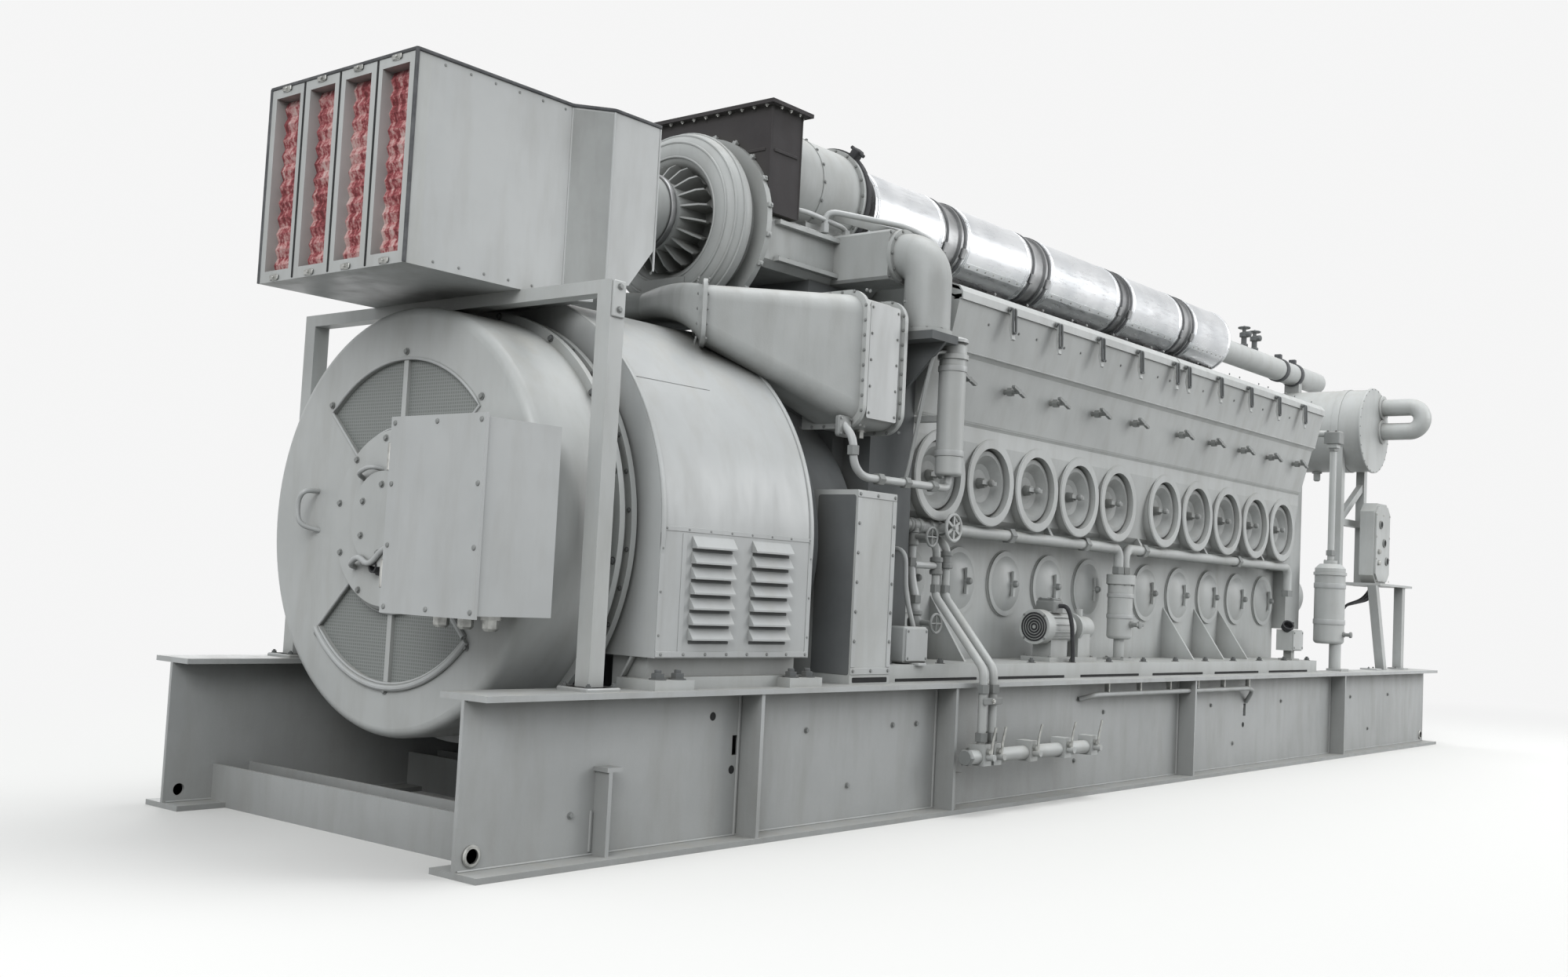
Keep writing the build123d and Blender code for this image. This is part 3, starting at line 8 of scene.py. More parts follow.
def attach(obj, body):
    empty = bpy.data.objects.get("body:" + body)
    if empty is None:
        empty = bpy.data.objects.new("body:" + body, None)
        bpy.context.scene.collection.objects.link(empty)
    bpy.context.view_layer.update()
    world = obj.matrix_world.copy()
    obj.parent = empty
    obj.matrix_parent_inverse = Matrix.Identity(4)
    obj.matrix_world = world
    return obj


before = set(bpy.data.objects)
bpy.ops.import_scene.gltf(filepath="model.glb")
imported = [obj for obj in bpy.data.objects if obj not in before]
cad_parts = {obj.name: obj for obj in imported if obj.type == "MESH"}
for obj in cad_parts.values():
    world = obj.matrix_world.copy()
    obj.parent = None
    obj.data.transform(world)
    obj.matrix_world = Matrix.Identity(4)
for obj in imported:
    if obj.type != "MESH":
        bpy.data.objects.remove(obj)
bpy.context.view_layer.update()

# Diesel generating set: finishes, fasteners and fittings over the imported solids.
# Metres. X runs along the crankshaft, -Y is the photographed side, +Z is up.

MM = 0.001

# Places that the fittings share with the solids
CRANK_Z = 1.065
BEAM_TOP = 0.540
RAIL_TOP = 0.610
WEB_OUT = 0.825             # outer face of a beam's web
POST_X = -3.995             # posts of the filter box's stand
TURBO_Z = 2.395             # axis of the turbocharger and of the box's outlet
MANIFOLD_Z = 2.697
COVER_X, COVER_OUT = -3.338, 0.860      # middle of the stator cover, and its flat side
GUARD_X, GUARD_OUT = -2.5075, 0.842     # the same of the coupling guard
PORT_Z = 1.430
PAN_COVER_Z = 0.976
BLOCK_ENDS = (-1.985, 2.415)
GALLERY_Y, GALLERY_Z = -0.600, 1.200
PUMP_Y, PUMP_Z = -0.640, 0.775
LUBE_X, LUBE_Y = -1.979, -0.820         # upright lube filter
FUEL_X, FUEL_Y = 2.870, -0.700          # tall fuel filter
DRAIN_Y = -0.975
TANK_X, TANK_Z = 3.925, 2.262
PANEL_Y = -0.674                        # face of the control panel

PITCH = 0.4223
CENTRE_GAP = 0.5551
PAN_GAP = 0.6886
FIRST_CYLINDER = -1.7694
CYLINDERS = 10

TURN = 2 * math.pi
SIDES = (-1, 1)
FRONT = (-1, 0, 0)
BACK = (1, 0, 0)
NEAR = (0, -1, 0)
UP = (0, 0, 1)
DOWN = (0, 0, -1)
CENTRE = (0, 0, 0)


def cylinder_x(index, shift=0.0, gap=CENTRE_GAP):
    """Station of a cylinder, counted from the alternator end."""
    extra = gap - PITCH if index >= CYLINDERS // 2 else 0.0
    return FIRST_CYLINDER + shift + index * PITCH + extra


STATIONS = [cylinder_x(i) for i in range(CYLINDERS)]
PAN_STATIONS = [cylinder_x(i, 0.066, PAN_GAP) for i in range(CYLINDERS)]
LATCH_STATIONS = [cylinder_x(i, 0.265, 0.146) for i in range(CYLINDERS)]


# Finishes

def colour(code):
    """sRGB hex to the linear values that a shader takes."""
    parts = [int(code[i:i + 2], 16) / 255 for i in (1, 3, 5)]
    linear = [p / 12.92 if p <= 0.04045 else ((p + 0.055) / 1.055) ** 2.4 for p in parts]
    return (*linear, 1.0)


def add(tree, kind, links=(), stops=(), **settings):
    """Adds one node: its settings, its links in as (socket, node, output), its ramp stops if it has any."""
    node = tree.nodes.new(kind)
    for key, value in settings.items():
        if key.startswith("in_"):
            socket = key[3:].replace("_", " ")
            node.inputs[int(socket) if socket.isdigit() else socket].default_value = value
        else:
            setattr(node, key, value)
    for socket, source, output in links:
        tree.links.new(source.outputs[output], node.inputs[socket])
    for index, (position, shade) in enumerate(stops):
        band = node.color_ramp.elements
        stop = band[index] if index < len(band) else band.new(position)
        stop.position = position
        stop.color = colour(shade) if isinstance(shade, str) else (shade, shade, shade, 1)
    return node


def blank_finish(name):
    """An empty material, its tree, and the link that brings in Object coordinates."""
    material = bpy.data.materials.new(name)
    material.use_nodes = True
    tree = material.node_tree
    tree.nodes.clear()
    return material, tree, [("Vector", add(tree, "ShaderNodeTexCoord"), "Object")]


def finished(material, tree, tone, height, strength, deep_mm, gloss=(), **settings):
    """Ends a material: its relief, its shader and its output. Tone and height are (node, output)."""
    bump = add(tree, "ShaderNodeBump", [("Height", *height)], in_Strength=strength, in_Distance=deep_mm * MM)
    links = [("Base Color", *tone), ("Normal", bump, "Normal"), *gloss]
    shader = add(tree, "ShaderNodeBsdfPrincipled", links, **settings)
    add(tree, "ShaderNodeOutputMaterial", [("Surface", shader, "BSDF")])
    return material


def enamel(name, base, shade, dust, rough=0.42, peel_mm=0.25, dusty=0.35, sheen=0.5, nook_mm=130):
    """Alkyd enamel sprayed over primed steel. To the eye: a soft sheen, cloudy mottling 600 mm across,
    run-off streaks 90 mm apart, painted shade in corners and hollows, and pale dust on the tops."""
    material, tree, here = blank_finish(name)
    clouds = add(tree, "ShaderNodeTexNoise", here, in_Scale=1 / (600 * MM), in_Detail=5.0, in_Roughness=0.6)
    tall = add(tree, "ShaderNodeMapping", here, in_Scale=(1, 1, 0.2))
    runs = add(tree, "ShaderNodeTexNoise", [("Vector", tall, "Vector")],
               in_Scale=1 / (90 * MM), in_Detail=4.0, in_Roughness=0.6)
    tone = add(tree, "ShaderNodeValToRGB", [("Fac", clouds, "Fac")], [(0.34, shade), (0.60, base)])
    grime = add(tree, "ShaderNodeValToRGB", [("Fac", runs, "Fac")], [(0.46, 0.0), (0.80, dusty)])
    # Ambient occlusion darkens corners and hollows towards #55544F: painted shade
    corners = add(tree, "ShaderNodeAmbientOcclusion", samples=6, in_Distance=nook_mm * MM)
    corner_shade = add(tree, "ShaderNodeValToRGB", [("Fac", corners, "AO")], [(0.25, 0.55), (0.85, 0.0)])
    split = add(tree, "ShaderNodeSeparateXYZ", [("Vector", add(tree, "ShaderNodeNewGeometry"), "Normal")])
    top = add(tree, "ShaderNodeMath", [(0, split, "Z"), (1, runs, "Fac")], operation="MULTIPLY")
    settled = add(tree, "ShaderNodeValToRGB", [("Fac", top, "Value")], [(0.30, 0.0), (0.75, dusty)])
    layer = (tone, "Color")
    # Layers over the tone: run-off dirt in the dust colour, painted shade in the corners, pale dust on the
    # tops
    for mask, code in ((grime, dust), (corner_shade, "#55544F"), (settled, "#B9B6AD")):
        links = [(0, mask, "Color"), (6, *layer)]
        layer = (add(tree, "ShaderNodeMix", links, data_type="RGBA", in_7=colour(code)), 2)
    gloss = add(tree, "ShaderNodeValToRGB", [("Fac", runs, "Fac")],
                [(0.3, rough - 0.06), (0.8, rough + 0.16)])
    peel = add(tree, "ShaderNodeTexNoise", here, in_Scale=1 / (7 * MM), in_Detail=2.0)
    waves = add(tree, "ShaderNodeTexNoise", here, in_Scale=1 / (240 * MM), in_Detail=2.0)
    broad = add(tree, "ShaderNodeMath", [(0, waves, "Fac")], operation="MULTIPLY", in_1=6.0)
    height = add(tree, "ShaderNodeMath", [(0, peel, "Fac"), (1, broad, "Value")], operation="ADD")
    return finished(material, tree, layer, (height, "Value"), 0.30, peel_mm,
                    [("Roughness", gloss, "Color")], in_Specular_IOR_Level=sheen)


def bright_metal(name, base, shade, rough=0.24, grain_mm=14, dent_mm=2.5, patch_mm=240):
    """Bare metal sheet or plating. To the eye: fine grain drawn along X, hand-worked ripples
    and patches that have gone dull."""
    material, tree, here = blank_finish(name)
    drawn = add(tree, "ShaderNodeMapping", here, in_Scale=(0.12, 1, 1))
    grain = add(tree, "ShaderNodeTexNoise", [("Vector", drawn, "Vector")],
                in_Scale=1 / (grain_mm * MM), in_Detail=3.0, in_Roughness=0.6)
    dents = add(tree, "ShaderNodeTexNoise", here, in_Scale=1 / (patch_mm * MM), in_Detail=3.0,
                in_Roughness=0.5)
    tone = add(tree, "ShaderNodeValToRGB", [("Fac", dents, "Fac")], [(0.30, shade), (0.62, base)])
    gloss = add(tree, "ShaderNodeValToRGB", [("Fac", grain, "Fac")], [(0.3, rough), (0.75, rough + 0.20)])
    return finished(material, tree, (tone, "Color"), (dents, "Fac"), 0.4, dent_mm,
                    [("Roughness", gloss, "Color")], in_Metallic=1.0)


def wire_screen(name):
    """Woven wire cloth sprayed grey. To the eye: a square weave, dark between the wires; the
    real 4 mm weave is drawn 12 mm apart so that it shows."""
    material, tree, here = blank_finish(name)
    split = add(tree, "ShaderNodeSeparateXYZ", here)
    waves = []
    for axis in ("Y", "Z"):
        turn = add(tree, "ShaderNodeMath", [(0, split, axis)], operation="MULTIPLY", in_1=math.pi / (12 * MM))
        wave = add(tree, "ShaderNodeMath", [(0, turn, "Value")], operation="SINE")
        waves.append(add(tree, "ShaderNodeMath", [(0, wave, "Value")], operation="ABSOLUTE"))
    weave = add(tree, "ShaderNodeMath", [(0, waves[0], "Value"), (1, waves[1], "Value")], operation="MAXIMUM")
    tone = add(tree, "ShaderNodeValToRGB", [("Fac", weave, "Value")], [(0.72, "#777B79"), (0.97, "#8D918F")])
    return finished(material, tree, (tone, "Color"), (weave, "Value"), 0.6, 1.5, in_Roughness=0.55)


def filter_felt(name):
    """Needled polyester filter felt, dyed red and faded pink on its crests. To the eye: fibrous
    and patchy, with soft upright folds about 30 mm wide and 130 mm tall."""
    material, tree, here = blank_finish(name)
    fibre = add(tree, "ShaderNodeTexNoise", here, in_Scale=1 / (14 * MM), in_Detail=5.0, in_Roughness=0.7)
    rows = add(tree, "ShaderNodeMapping", here, in_Scale=(1, 2.2, 0.45))
    folds = add(tree, "ShaderNodeTexNoise", [("Vector", rows, "Vector")],
                in_Scale=1 / (60 * MM), in_Detail=3.0, in_Roughness=0.5)
    both_kinds = add(tree, "ShaderNodeMath", [(0, fibre, "Fac"), (1, folds, "Fac")], operation="ADD")
    half = add(tree, "ShaderNodeMath", [(0, both_kinds, "Value")], operation="MULTIPLY", in_1=0.5)
    tone = add(tree, "ShaderNodeValToRGB", [("Fac", half, "Value")],
               [(0.41, "#6B1D22"), (0.48, "#9C444A"), (0.53, "#C08A88"), (0.62, "#D2B8B4")])
    return finished(material, tree, (tone, "Color"), (half, "Value"), 0.9, 6,
                    in_Roughness=0.92, in_Sheen_Weight=0.2)


def dark_rubber(name, base, fade, rough=0.7, patch_mm=60):
    """Moulded rubber or tarred sealing strip. To the eye: matt, nearly black, chalky in places."""
    material, tree, here = blank_finish(name)
    chalk = add(tree, "ShaderNodeTexNoise", here, in_Scale=1 / (patch_mm * MM), in_Detail=4.0,
                in_Roughness=0.6)
    tone = add(tree, "ShaderNodeValToRGB", [("Fac", chalk, "Fac")], [(0.40, base), (0.70, fade)])
    return finished(material, tree, (tone, "Color"), (chalk, "Fac"), 0.3, 0.5, in_Roughness=rough)


GREY = enamel("light_grey_enamel", "#BCBFBE", "#B1B4B3", "#9B9A94")
GREY_PANEL = enamel("panel_grey_enamel", "#BABDBD", "#B0B3B3", "#9E9D98", rough=0.36)
GREY_CAST = enamel("grey_enamel_on_casting", "#B2B5B4", "#A5A8A7", "#8C8A85", rough=0.5, peel_mm=1.0)
# The skid's occlusion reaches 650 mm, so painted shade fills the beams' insides and the space under the
# alternator
GREY_SKID = enamel("skid_grey_enamel", "#B9BCBC", "#ADB0B0", "#97958E", rough=0.46, nook_mm=650)
# Darker grey for fasteners and small fittings; the bolts are the set's own grey, so on them the darker tone
# is painted shade
GREY_BOLT = enamel("grey_enamel_on_fasteners", "#8F9291", "#7C7F7E", "#686661", rough=0.45)
# Dark grey for a few dark parts, and painted shade: the rear bell, recessed faces, and sheets, strips and
# rings laid where shade falls; little dust, so it stays dark
GREY_SHADE = enamel("dull_grey_primer", "#696C6D", "#5A5D5E", "#53524E", rough=0.7, dusty=0.08, sheen=0.3)
# Darker grey for the turbocharger's inlet, and painted shade on the port covers in their recesses and on the
# filter box's slanting corners
GREY_INLET = enamel("aluminium_paint_on_casting", "#A3A6A5", "#8F9291", "#76746F", rough=0.5, peel_mm=1.0)
HEAT_DARK = enamel("heat_resistant_dark_paint", "#444243", "#363435", "#504C4A", rough=0.72,
                   peel_mm=0.8, dusty=0.2, sheen=0.22)
ALUMINIUM = bright_metal("rolled_aluminium_lagging", "#DCDEE0", "#C6C9CC")
STAINLESS = bright_metal("stainless_band", "#A9AAAB", "#7E7F80", rough=0.32, grain_mm=6, dent_mm=0.6)
PLATED = bright_metal("zinc_plated_steel", "#B4B5B2", "#8F908D", rough=0.38, grain_mm=5, dent_mm=0.2,
                      patch_mm=30)
RUBBER = dark_rubber("sealing_rubber", "#26272A", "#3B3C3E")
TRIM = dark_rubber("edge_sealant", "#3F4144", "#5B5D5F", 0.6)
SHADOW = dark_rubber("unlit_opening", "#1B1C1D", "#232425", 0.9)
SCREEN = wire_screen("painted_wire_screen")
FELT = filter_felt("red_filter_felt")

FINISHES = (
    (GREY_SKID, "skid_beams skid_cross_members"),
    (GREY_PANEL, "filter_housing alternator_cover alternator_terminal_box"),
    (GREY_CAST, "turbo_scroll turbo_gear_case charge_ducts charge_scoop air_elbows cylinder_heads "
                "water_pumps accessory_gear_case manifold_adapter"),
    # The port covers take the darker grey as painted shade in their recesses
    (GREY_INLET, "turbo_inlet port_covers"),
    (GREY_BOLT, "test_valves"),
    # The rear bell and the rear end housing sit in shade: their dark grey is painted shade
    (GREY_SHADE, "alternator_rear_bell rear_end_housing"),
    (HEAT_DARK, "exhaust_duct exhaust_manifold exhaust_risers"),
    (ALUMINIUM, "lagging_sections"),
    (STAINLESS, "lagging_bands"),
    (SCREEN, "alternator_screens"),
    (FELT, "filter_media"),
)
finish_of = {name: finish for finish, names in FINISHES for name in names.split()}
for name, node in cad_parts.items():
    node.data.materials.clear()
    node.data.materials.append(finish_of.get(name, GREY))


# Surfaces worked out as whole arrays

def unit(v):
    """Vectors of length one."""
    v = np.asarray(v, float)
    return v / np.linalg.norm(v, axis=-1, keepdims=True)


def skin(grid, ring=False):
    """Rows of points as a closed body: quads join (i, j), (i, j+1), (i+1, j+1), (i+1, j). Each row
    closes on itself. A ring's last row joins its first, other bodies get a flat face at each end."""
    rows, columns = grid.shape[:2]
    r, c = np.meshgrid(np.arange(rows if ring else rows - 1), np.arange(columns), indexing="ij")
    r1, c1 = (r + 1) % rows, (c + 1) % columns
    quads = np.stack([r * columns + c, r * columns + c1, r1 * columns + c1, r1 * columns + c], -1)
    cap = np.arange(columns)[None]
    caps = [] if ring else [cap[:, ::-1], cap + (rows - 1) * columns]
    return grid.reshape(-1, 3), [quads.reshape(-1, 4), *caps]


def turned(profile, sides=20, hexed=()):
    """(radius, height) pairs turned about Z: x = r cos a, y = r sin a. In the rows named in
    hexed every other point is drawn in to cos 30 degrees, which makes 12 sides a hexagon."""
    r, h = np.array(profile, float).T
    a = TURN * np.arange(sides) / sides
    r = np.repeat(r[:, None], sides, 1)
    r[np.ix_(list(hexed), range(1, sides, 2))] *= math.cos(math.pi / 6)
    return skin(np.stack([r * np.cos(a), r * np.sin(a), np.repeat(h[:, None], sides, 1)], -1))


def two_ended(half):
    """The (radius, height) pairs above the middle, after the same ones mirrored below it."""
    return [(r, -h) for r, h in half[::-1]] + half


def hex_bar(r, reach):
    """A hexagonal union or bolt that reaches as far up as down."""
    return turned([(r, -reach), (r, reach)], 12, hexed=(0, 1))


def hoop(outline, radius, start=0.0, sweep=TURN, steps=64):
    """An outline of (out, up) pairs carried round Z at a radius: (R + out) cos a, (R + out) sin a, up."""
    out, up = np.array(outline, float).T
    full = sweep >= TURN
    k = np.arange(steps) / (steps if full else steps - 1)
    a = (start + sweep * (1 - k))[:, None]
    grid = np.stack([(radius + out) * np.cos(a), (radius + out) * np.sin(a), up + 0 * a], -1)
    return skin(grid, full)


def disc_outline(r, sides=10):
    """Points of a circle, counter-clockwise."""
    a = TURN * np.arange(sides) / sides
    return np.stack([r * np.cos(a), r * np.sin(a)], -1)


def slab_outline(wide, high, corner, steps=4):
    """Rounded rectangle: four quarter circles of the corner radius, joined by straight sides."""
    a = (np.pi / 2) * (np.arange(4)[:, None] + np.linspace(0, 1, steps))
    x = np.array([1, -1, -1, 1])[:, None] * (wide / 2 - corner) + corner * np.cos(a)
    y = np.array([1, 1, -1, -1])[:, None] * (high / 2 - corner) + corner * np.sin(a)
    return np.stack([x.ravel(), y.ravel()], -1)


def plate(wide, high, thick, corner):
    """A plate with rounded corners and a broken front edge: the outline rises to thick - edge,
    then draws in by edge."""
    edge = min(thick * 0.35, corner * 0.8)
    outer = slab_outline(wide, high, corner)
    inner = slab_outline(wide - 2 * edge, high - 2 * edge, max(corner - edge, 0.0002))
    rows = [(outer, 0), (outer, thick - edge), (inner, thick)]
    return skin(np.stack([np.column_stack([o, np.full(len(o), z)]) for o, z in rows]))


def carried(outline, path, up=(0.31, 0.17, 0.94), closed=False):
    """An outline of (a, b) pairs carried along a path: point + a side + b over, where side is
    square to the path and to 'up', and over is square to both."""
    path = np.asarray(path, float)
    ahead = np.roll(path, -1, 0) - np.roll(path, 1, 0) if closed else np.gradient(path, axis=0)
    ahead = unit(ahead)
    side = unit(np.cross(up, ahead))
    over = np.cross(ahead, side)
    a, b = np.array(outline, float).T
    grid = path[:, None] + a[None, :, None] * side[:, None] + b[None, :, None] * over[:, None]
    return skin(grid, closed)


def bead(r, start, end, sides=6):
    """A weld bead or round edge along a straight line."""
    return carried(disc_outline(r, sides), row(start, end, 3))


def beads(r, starts, reach, sides=6):
    """Beads on both sides of the set, each from its start along the reach."""
    return [bead(r, start, start + reach, sides) for start in both(starts)]


def bent(corners, bend=0.05, steps=7):
    """A line with its corners rounded: (1-t)^2 before + 2t(1-t) corner + t^2 after."""
    corners = np.asarray(corners, float)
    t = np.linspace(0, 1, steps)[:, None]
    line = [corners[:1]]
    for before, corner, after in zip(corners[:-2], corners[1:-1], corners[2:]):
        a = corner + unit(before - corner) * min(bend, 0.45 * np.linalg.norm(before - corner))
        b = corner + unit(after - corner) * min(bend, 0.45 * np.linalg.norm(after - corner))
        line.append((1 - t) ** 2 * a + 2 * t * (1 - t) * corner + t * t * b)
    return np.concatenate(line + [corners[-1:]])


def pipe(corners, r, bend=0.05, sides=12):
    """A round pipe along a line with rounded corners."""
    return carried(disc_outline(r, sides), bent(corners, bend))


def merged(shapes):
    """Several shapes as one, with the faces' numbers moved on."""
    points, faces, start = [], [], 0
    for p, f in shapes:
        points.append(p)
        faces += [k + start for k in f]
        start += len(p)
    return np.concatenate(points), faces


def placed(shape, places, ways, size=1.0):
    """Copies of a shape with its Z laid along each way: place + size (x side + y over + z way)."""
    p, f = shape
    places = np.atleast_2d(np.asarray(places, float))
    ways = unit(np.broadcast_to(np.atleast_2d(np.asarray(ways, float)), places.shape))
    upright = np.abs(ways[:, 2:3]) > 0.9
    side = unit(np.cross(np.where(upright, [[1.0, 0, 0]], [[0, 0, 1.0]]), ways))
    over = np.cross(ways, side)
    axes = np.stack([side, over, ways], 1)
    points = places[:, None] + np.einsum("pk,nkc->npc", size * p, axes)
    shift = np.arange(len(places))[:, None, None] * len(p)
    return points.reshape(-1, 3), [(k[None] + shift).reshape(-1, k.shape[1]) for k in f]


def both(points):
    """The points as they are on the near side, then on the far side."""
    points = np.atleast_2d(np.asarray(points, float))
    return np.concatenate([points * (1, s, 1) for s in SIDES])


def sided(shape, points, size=1.0):
    """Copies of a shape on both sides of the set, each facing outwards."""
    points = both(points)
    return placed(shape, points, np.sign(points) * (0, 1, 0), size)


def rings(outline, r, places, way=BACK, steps=64):
    """Hoops of one outline, each square to a way."""
    return placed(hoop(outline, r, steps=steps), places, way)


def radial(shape, centre, r, ways, size=1.0):
    """Copies of a shape at a distance from a centre, each facing away from it."""
    return placed(shape, np.add(centre, r * ways), ways, size)


def linked(name, data):
    """A new object of the data, in the scene."""
    thing = bpy.data.objects.new(name, data)
    bpy.context.collection.objects.link(thing)
    return thing


def fit(name, finish, *shapes, body="root"):
    """Makes one piece of the shapes, gives it its finish and lets it ride on its body."""
    points, faces = merged(shapes)
    mesh = bpy.data.meshes.new(name)
    mesh.from_pydata(points.tolist(), [], [face for block in faces for face in block.tolist()])
    mesh.shade_smooth()
    mesh.set_sharp_from_angle(angle=math.radians(35))
    mesh.materials.append(finish)
    piece = linked(name, mesh)
    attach(piece, body)


HEX = turned([(1, 0), (1, 0.14), (0.72, 0.14), (0.72, 0.60), (0.56, 0.72)], 12, hexed=(2, 3))
PAN_HEAD = turned([(1, 0), (1, 0.22), (0.78, 0.46), (0.34, 0.56)], 10)
NUT_AND_STUD = turned([(1, 0), (1, 0.12), (0.74, 0.12), (0.74, 0.70), (0.40, 0.72), (0.40, 1.05),
                       (0.32, 1.1)], 12, hexed=(2, 3))


def row(start, end, count):
    """Evenly spaced points of a straight row."""
    return np.linspace(start, end, count)


def circle(centre, r, count, start=0.0, sweep=TURN, normal="x"):
    """Evenly spaced points of a bolt circle, square to one axis."""
    full = sweep >= TURN
    a = start + sweep * np.arange(count) / (count if full else count - 1)
    flat = np.zeros(count)
    across = {"x": (flat, np.cos(a), np.sin(a)), "y": (np.cos(a), flat, np.sin(a)),
              "z": (np.cos(a), np.sin(a), flat)}[normal]
    return np.asarray(centre, float) + r * np.stack(across, -1)


def spots(xs, ys, zs):
    """Points at every combination of the given x, y and z, each of them one number or several."""
    return [(x, y, z) for x in np.atleast_1d(xs) for y in np.atleast_1d(ys) for z in np.atleast_1d(zs)]


def four(x, y, z, a, b):
    """Four points round a place, at one height."""
    return [(x + i, y + j, z) for i in (-a, a) for j in (-b, b)]


def frame_row(low, high, inset, spacing):
    """Points spaced round the inside of a rectangle given by two (a, b) corners."""
    (a0, b0), (a1, b1) = np.add(low, inset), np.subtract(high, inset)
    along = max(2, round((a1 - a0) / spacing) + 1)
    upward = max(2, round((b1 - b0) / spacing) + 1)
    a = np.linspace(a0, a1, along)
    b = np.linspace(b0, b1, upward)[1:-1]
    ends = [np.column_stack([a, 0 * a + level]) for level in (b0, b1)]
    flanks = [np.column_stack([0 * b + side, b]) for side in (a0, a1)]
    return np.concatenate(ends + flanks)


def at(axis, pairs, level):
    """Pairs of two coordinates, completed with a level on the third axis."""
    return np.insert(np.asarray(pairs, float), "xyz".index(axis), level, axis=1)


def on_manifold(*stations):
    """Points on the axis of the exhaust manifold and the vent pipe."""
    return [(x, 0, MANIFOLD_Z) for x in stations]


# Alternator

def end_bell_fittings():
    """Rims and lips of the two air openings, bolts of the bearing cover and of the ring flanges,
    three small conduits and the sensor's boss."""
    face, half = -4.174, math.radians(47)
    centre, raised = (face, 0, CRANK_Z), np.array((face - 0.004, 0, CRANK_Z))
    rims = []
    bolts = [circle((-4.210, 0, CRANK_Z), 0.284, 10, math.radians(11)),
             circle((-4.240, 0, CRANK_Z), 0.118, 6, math.radians(30))]
    for middle in (math.pi / 2, -math.pi / 2):
        outer, inner = [circle(centre, r, 33, middle - half, 2 * half) for r in (0.563, 0.322)]
        rims.append(carried(disc_outline(0.0055, 8), np.concatenate([outer, inner[::-1]]), up=BACK,
                            closed=True))
        bolts.append(circle(centre, 0.588, 3, middle - half + 0.03, 2 * half - 0.06))
        bolts.append(circle(centre, 0.300, 2, middle - half + 0.06, 2 * half - 0.12))
    first = -math.pi / 2 - half
    spoke = np.array((0, math.cos(first), math.sin(first)))
    for line in (circle(raised, 0.578, 30, first, 2 * half),
                 row(raised + 0.56 * spoke, raised + 0.34 * spoke, 8)):
        rims.append(carried(disc_outline(0.011, 10), line, up=BACK))
    fit("air_opening_rims", GREY_PANEL, *rims)
    fit("bearing_cover_bolts", GREY_BOLT, placed(HEX, np.concatenate(bolts), FRONT, 0.0125))
    fit("stator_ring_bolts", GREY_SHADE,
        placed(HEX, circle((-3.860, 0, CRANK_Z), 0.7635, 16, math.radians(8)), FRONT, 0.0135),
        placed(HEX, circle((-3.796, 0, CRANK_Z), 0.757, 36, math.radians(5)), FRONT, 0.0090))
    fit("end_bell_conduits", GREY_PANEL,
        pipe([(-4.205, 0.150, 1.205), (-4.252, 0.130, 1.222), (-4.252, 0.060, 1.246), (-4.205, 0.040, 1.238)],
             0.0085, 0.03),
        pipe([(-4.205, 0.165, 0.895), (-4.245, 0.150, 0.905), (-4.250, 0.095, 0.936), (-4.250, 0.030, 0.900),
              (-4.246, -0.040, 0.968), (-4.242, -0.200, 0.990), (-4.240, -0.378, 0.990)], 0.0105, 0.05),
        pipe([(-4.168, 0.470, 1.165), (-4.236, 0.470, 1.165), (-4.236, 0.505, 1.120), (-4.236, 0.490, 1.040),
              (-4.168, 0.452, 1.022)], 0.0095, 0.04))
    plug = turned([(0.030, 0), (0.030, 0.008), (0.022, 0.012), (0.022, 0.034), (0.015, 0.034), (0.015, 0.012),
                   (0.010, 0.012)], 20)
    fit("speed_sensor_boss", RUBBER, placed(plug, (-4.210, 0.020, 0.900), FRONT))


def terminal_box_fittings():
    """Screws of the terminal box's front plate, its gasket, hinge pins and cable glands."""
    screws = at("x", frame_row((-0.825, 0.757), (-0.365, 1.375), 0.020, 0.205), -4.485)
    fit("terminal_box_screws", GREY_BOLT, placed(PAN_HEAD, screws, FRONT, 0.0085))
    joint = at("x", [(-0.8155, 0.7665), (-0.8155, 1.3655), (-0.3745, 1.3655), (-0.3745, 0.7665)], -4.4715)
    fit("terminal_box_gasket", RUBBER,
        carried(slab_outline(0.0035, 0.0035, 0.001), joint, up=BACK, closed=True))
    pin = turned(two_ended([(0.008, 0.043), (0.004, 0.045)]), 14)
    fit("terminal_box_hinges", PLATED, placed(pin, spots(-4.480, -0.361, (0.88, 1.25)), UP))
    gland = turned([(0.034, 0), (0.034, 0.014), (0.026, 0.014), (0.026, 0.040), (0.018, 0.048)], 12,
                   hexed=(2, 3))
    fit("terminal_box_glands", PLATED,
        placed(gland, spots(-4.33, (-0.72, -0.60, -0.48), 0.767), DOWN))


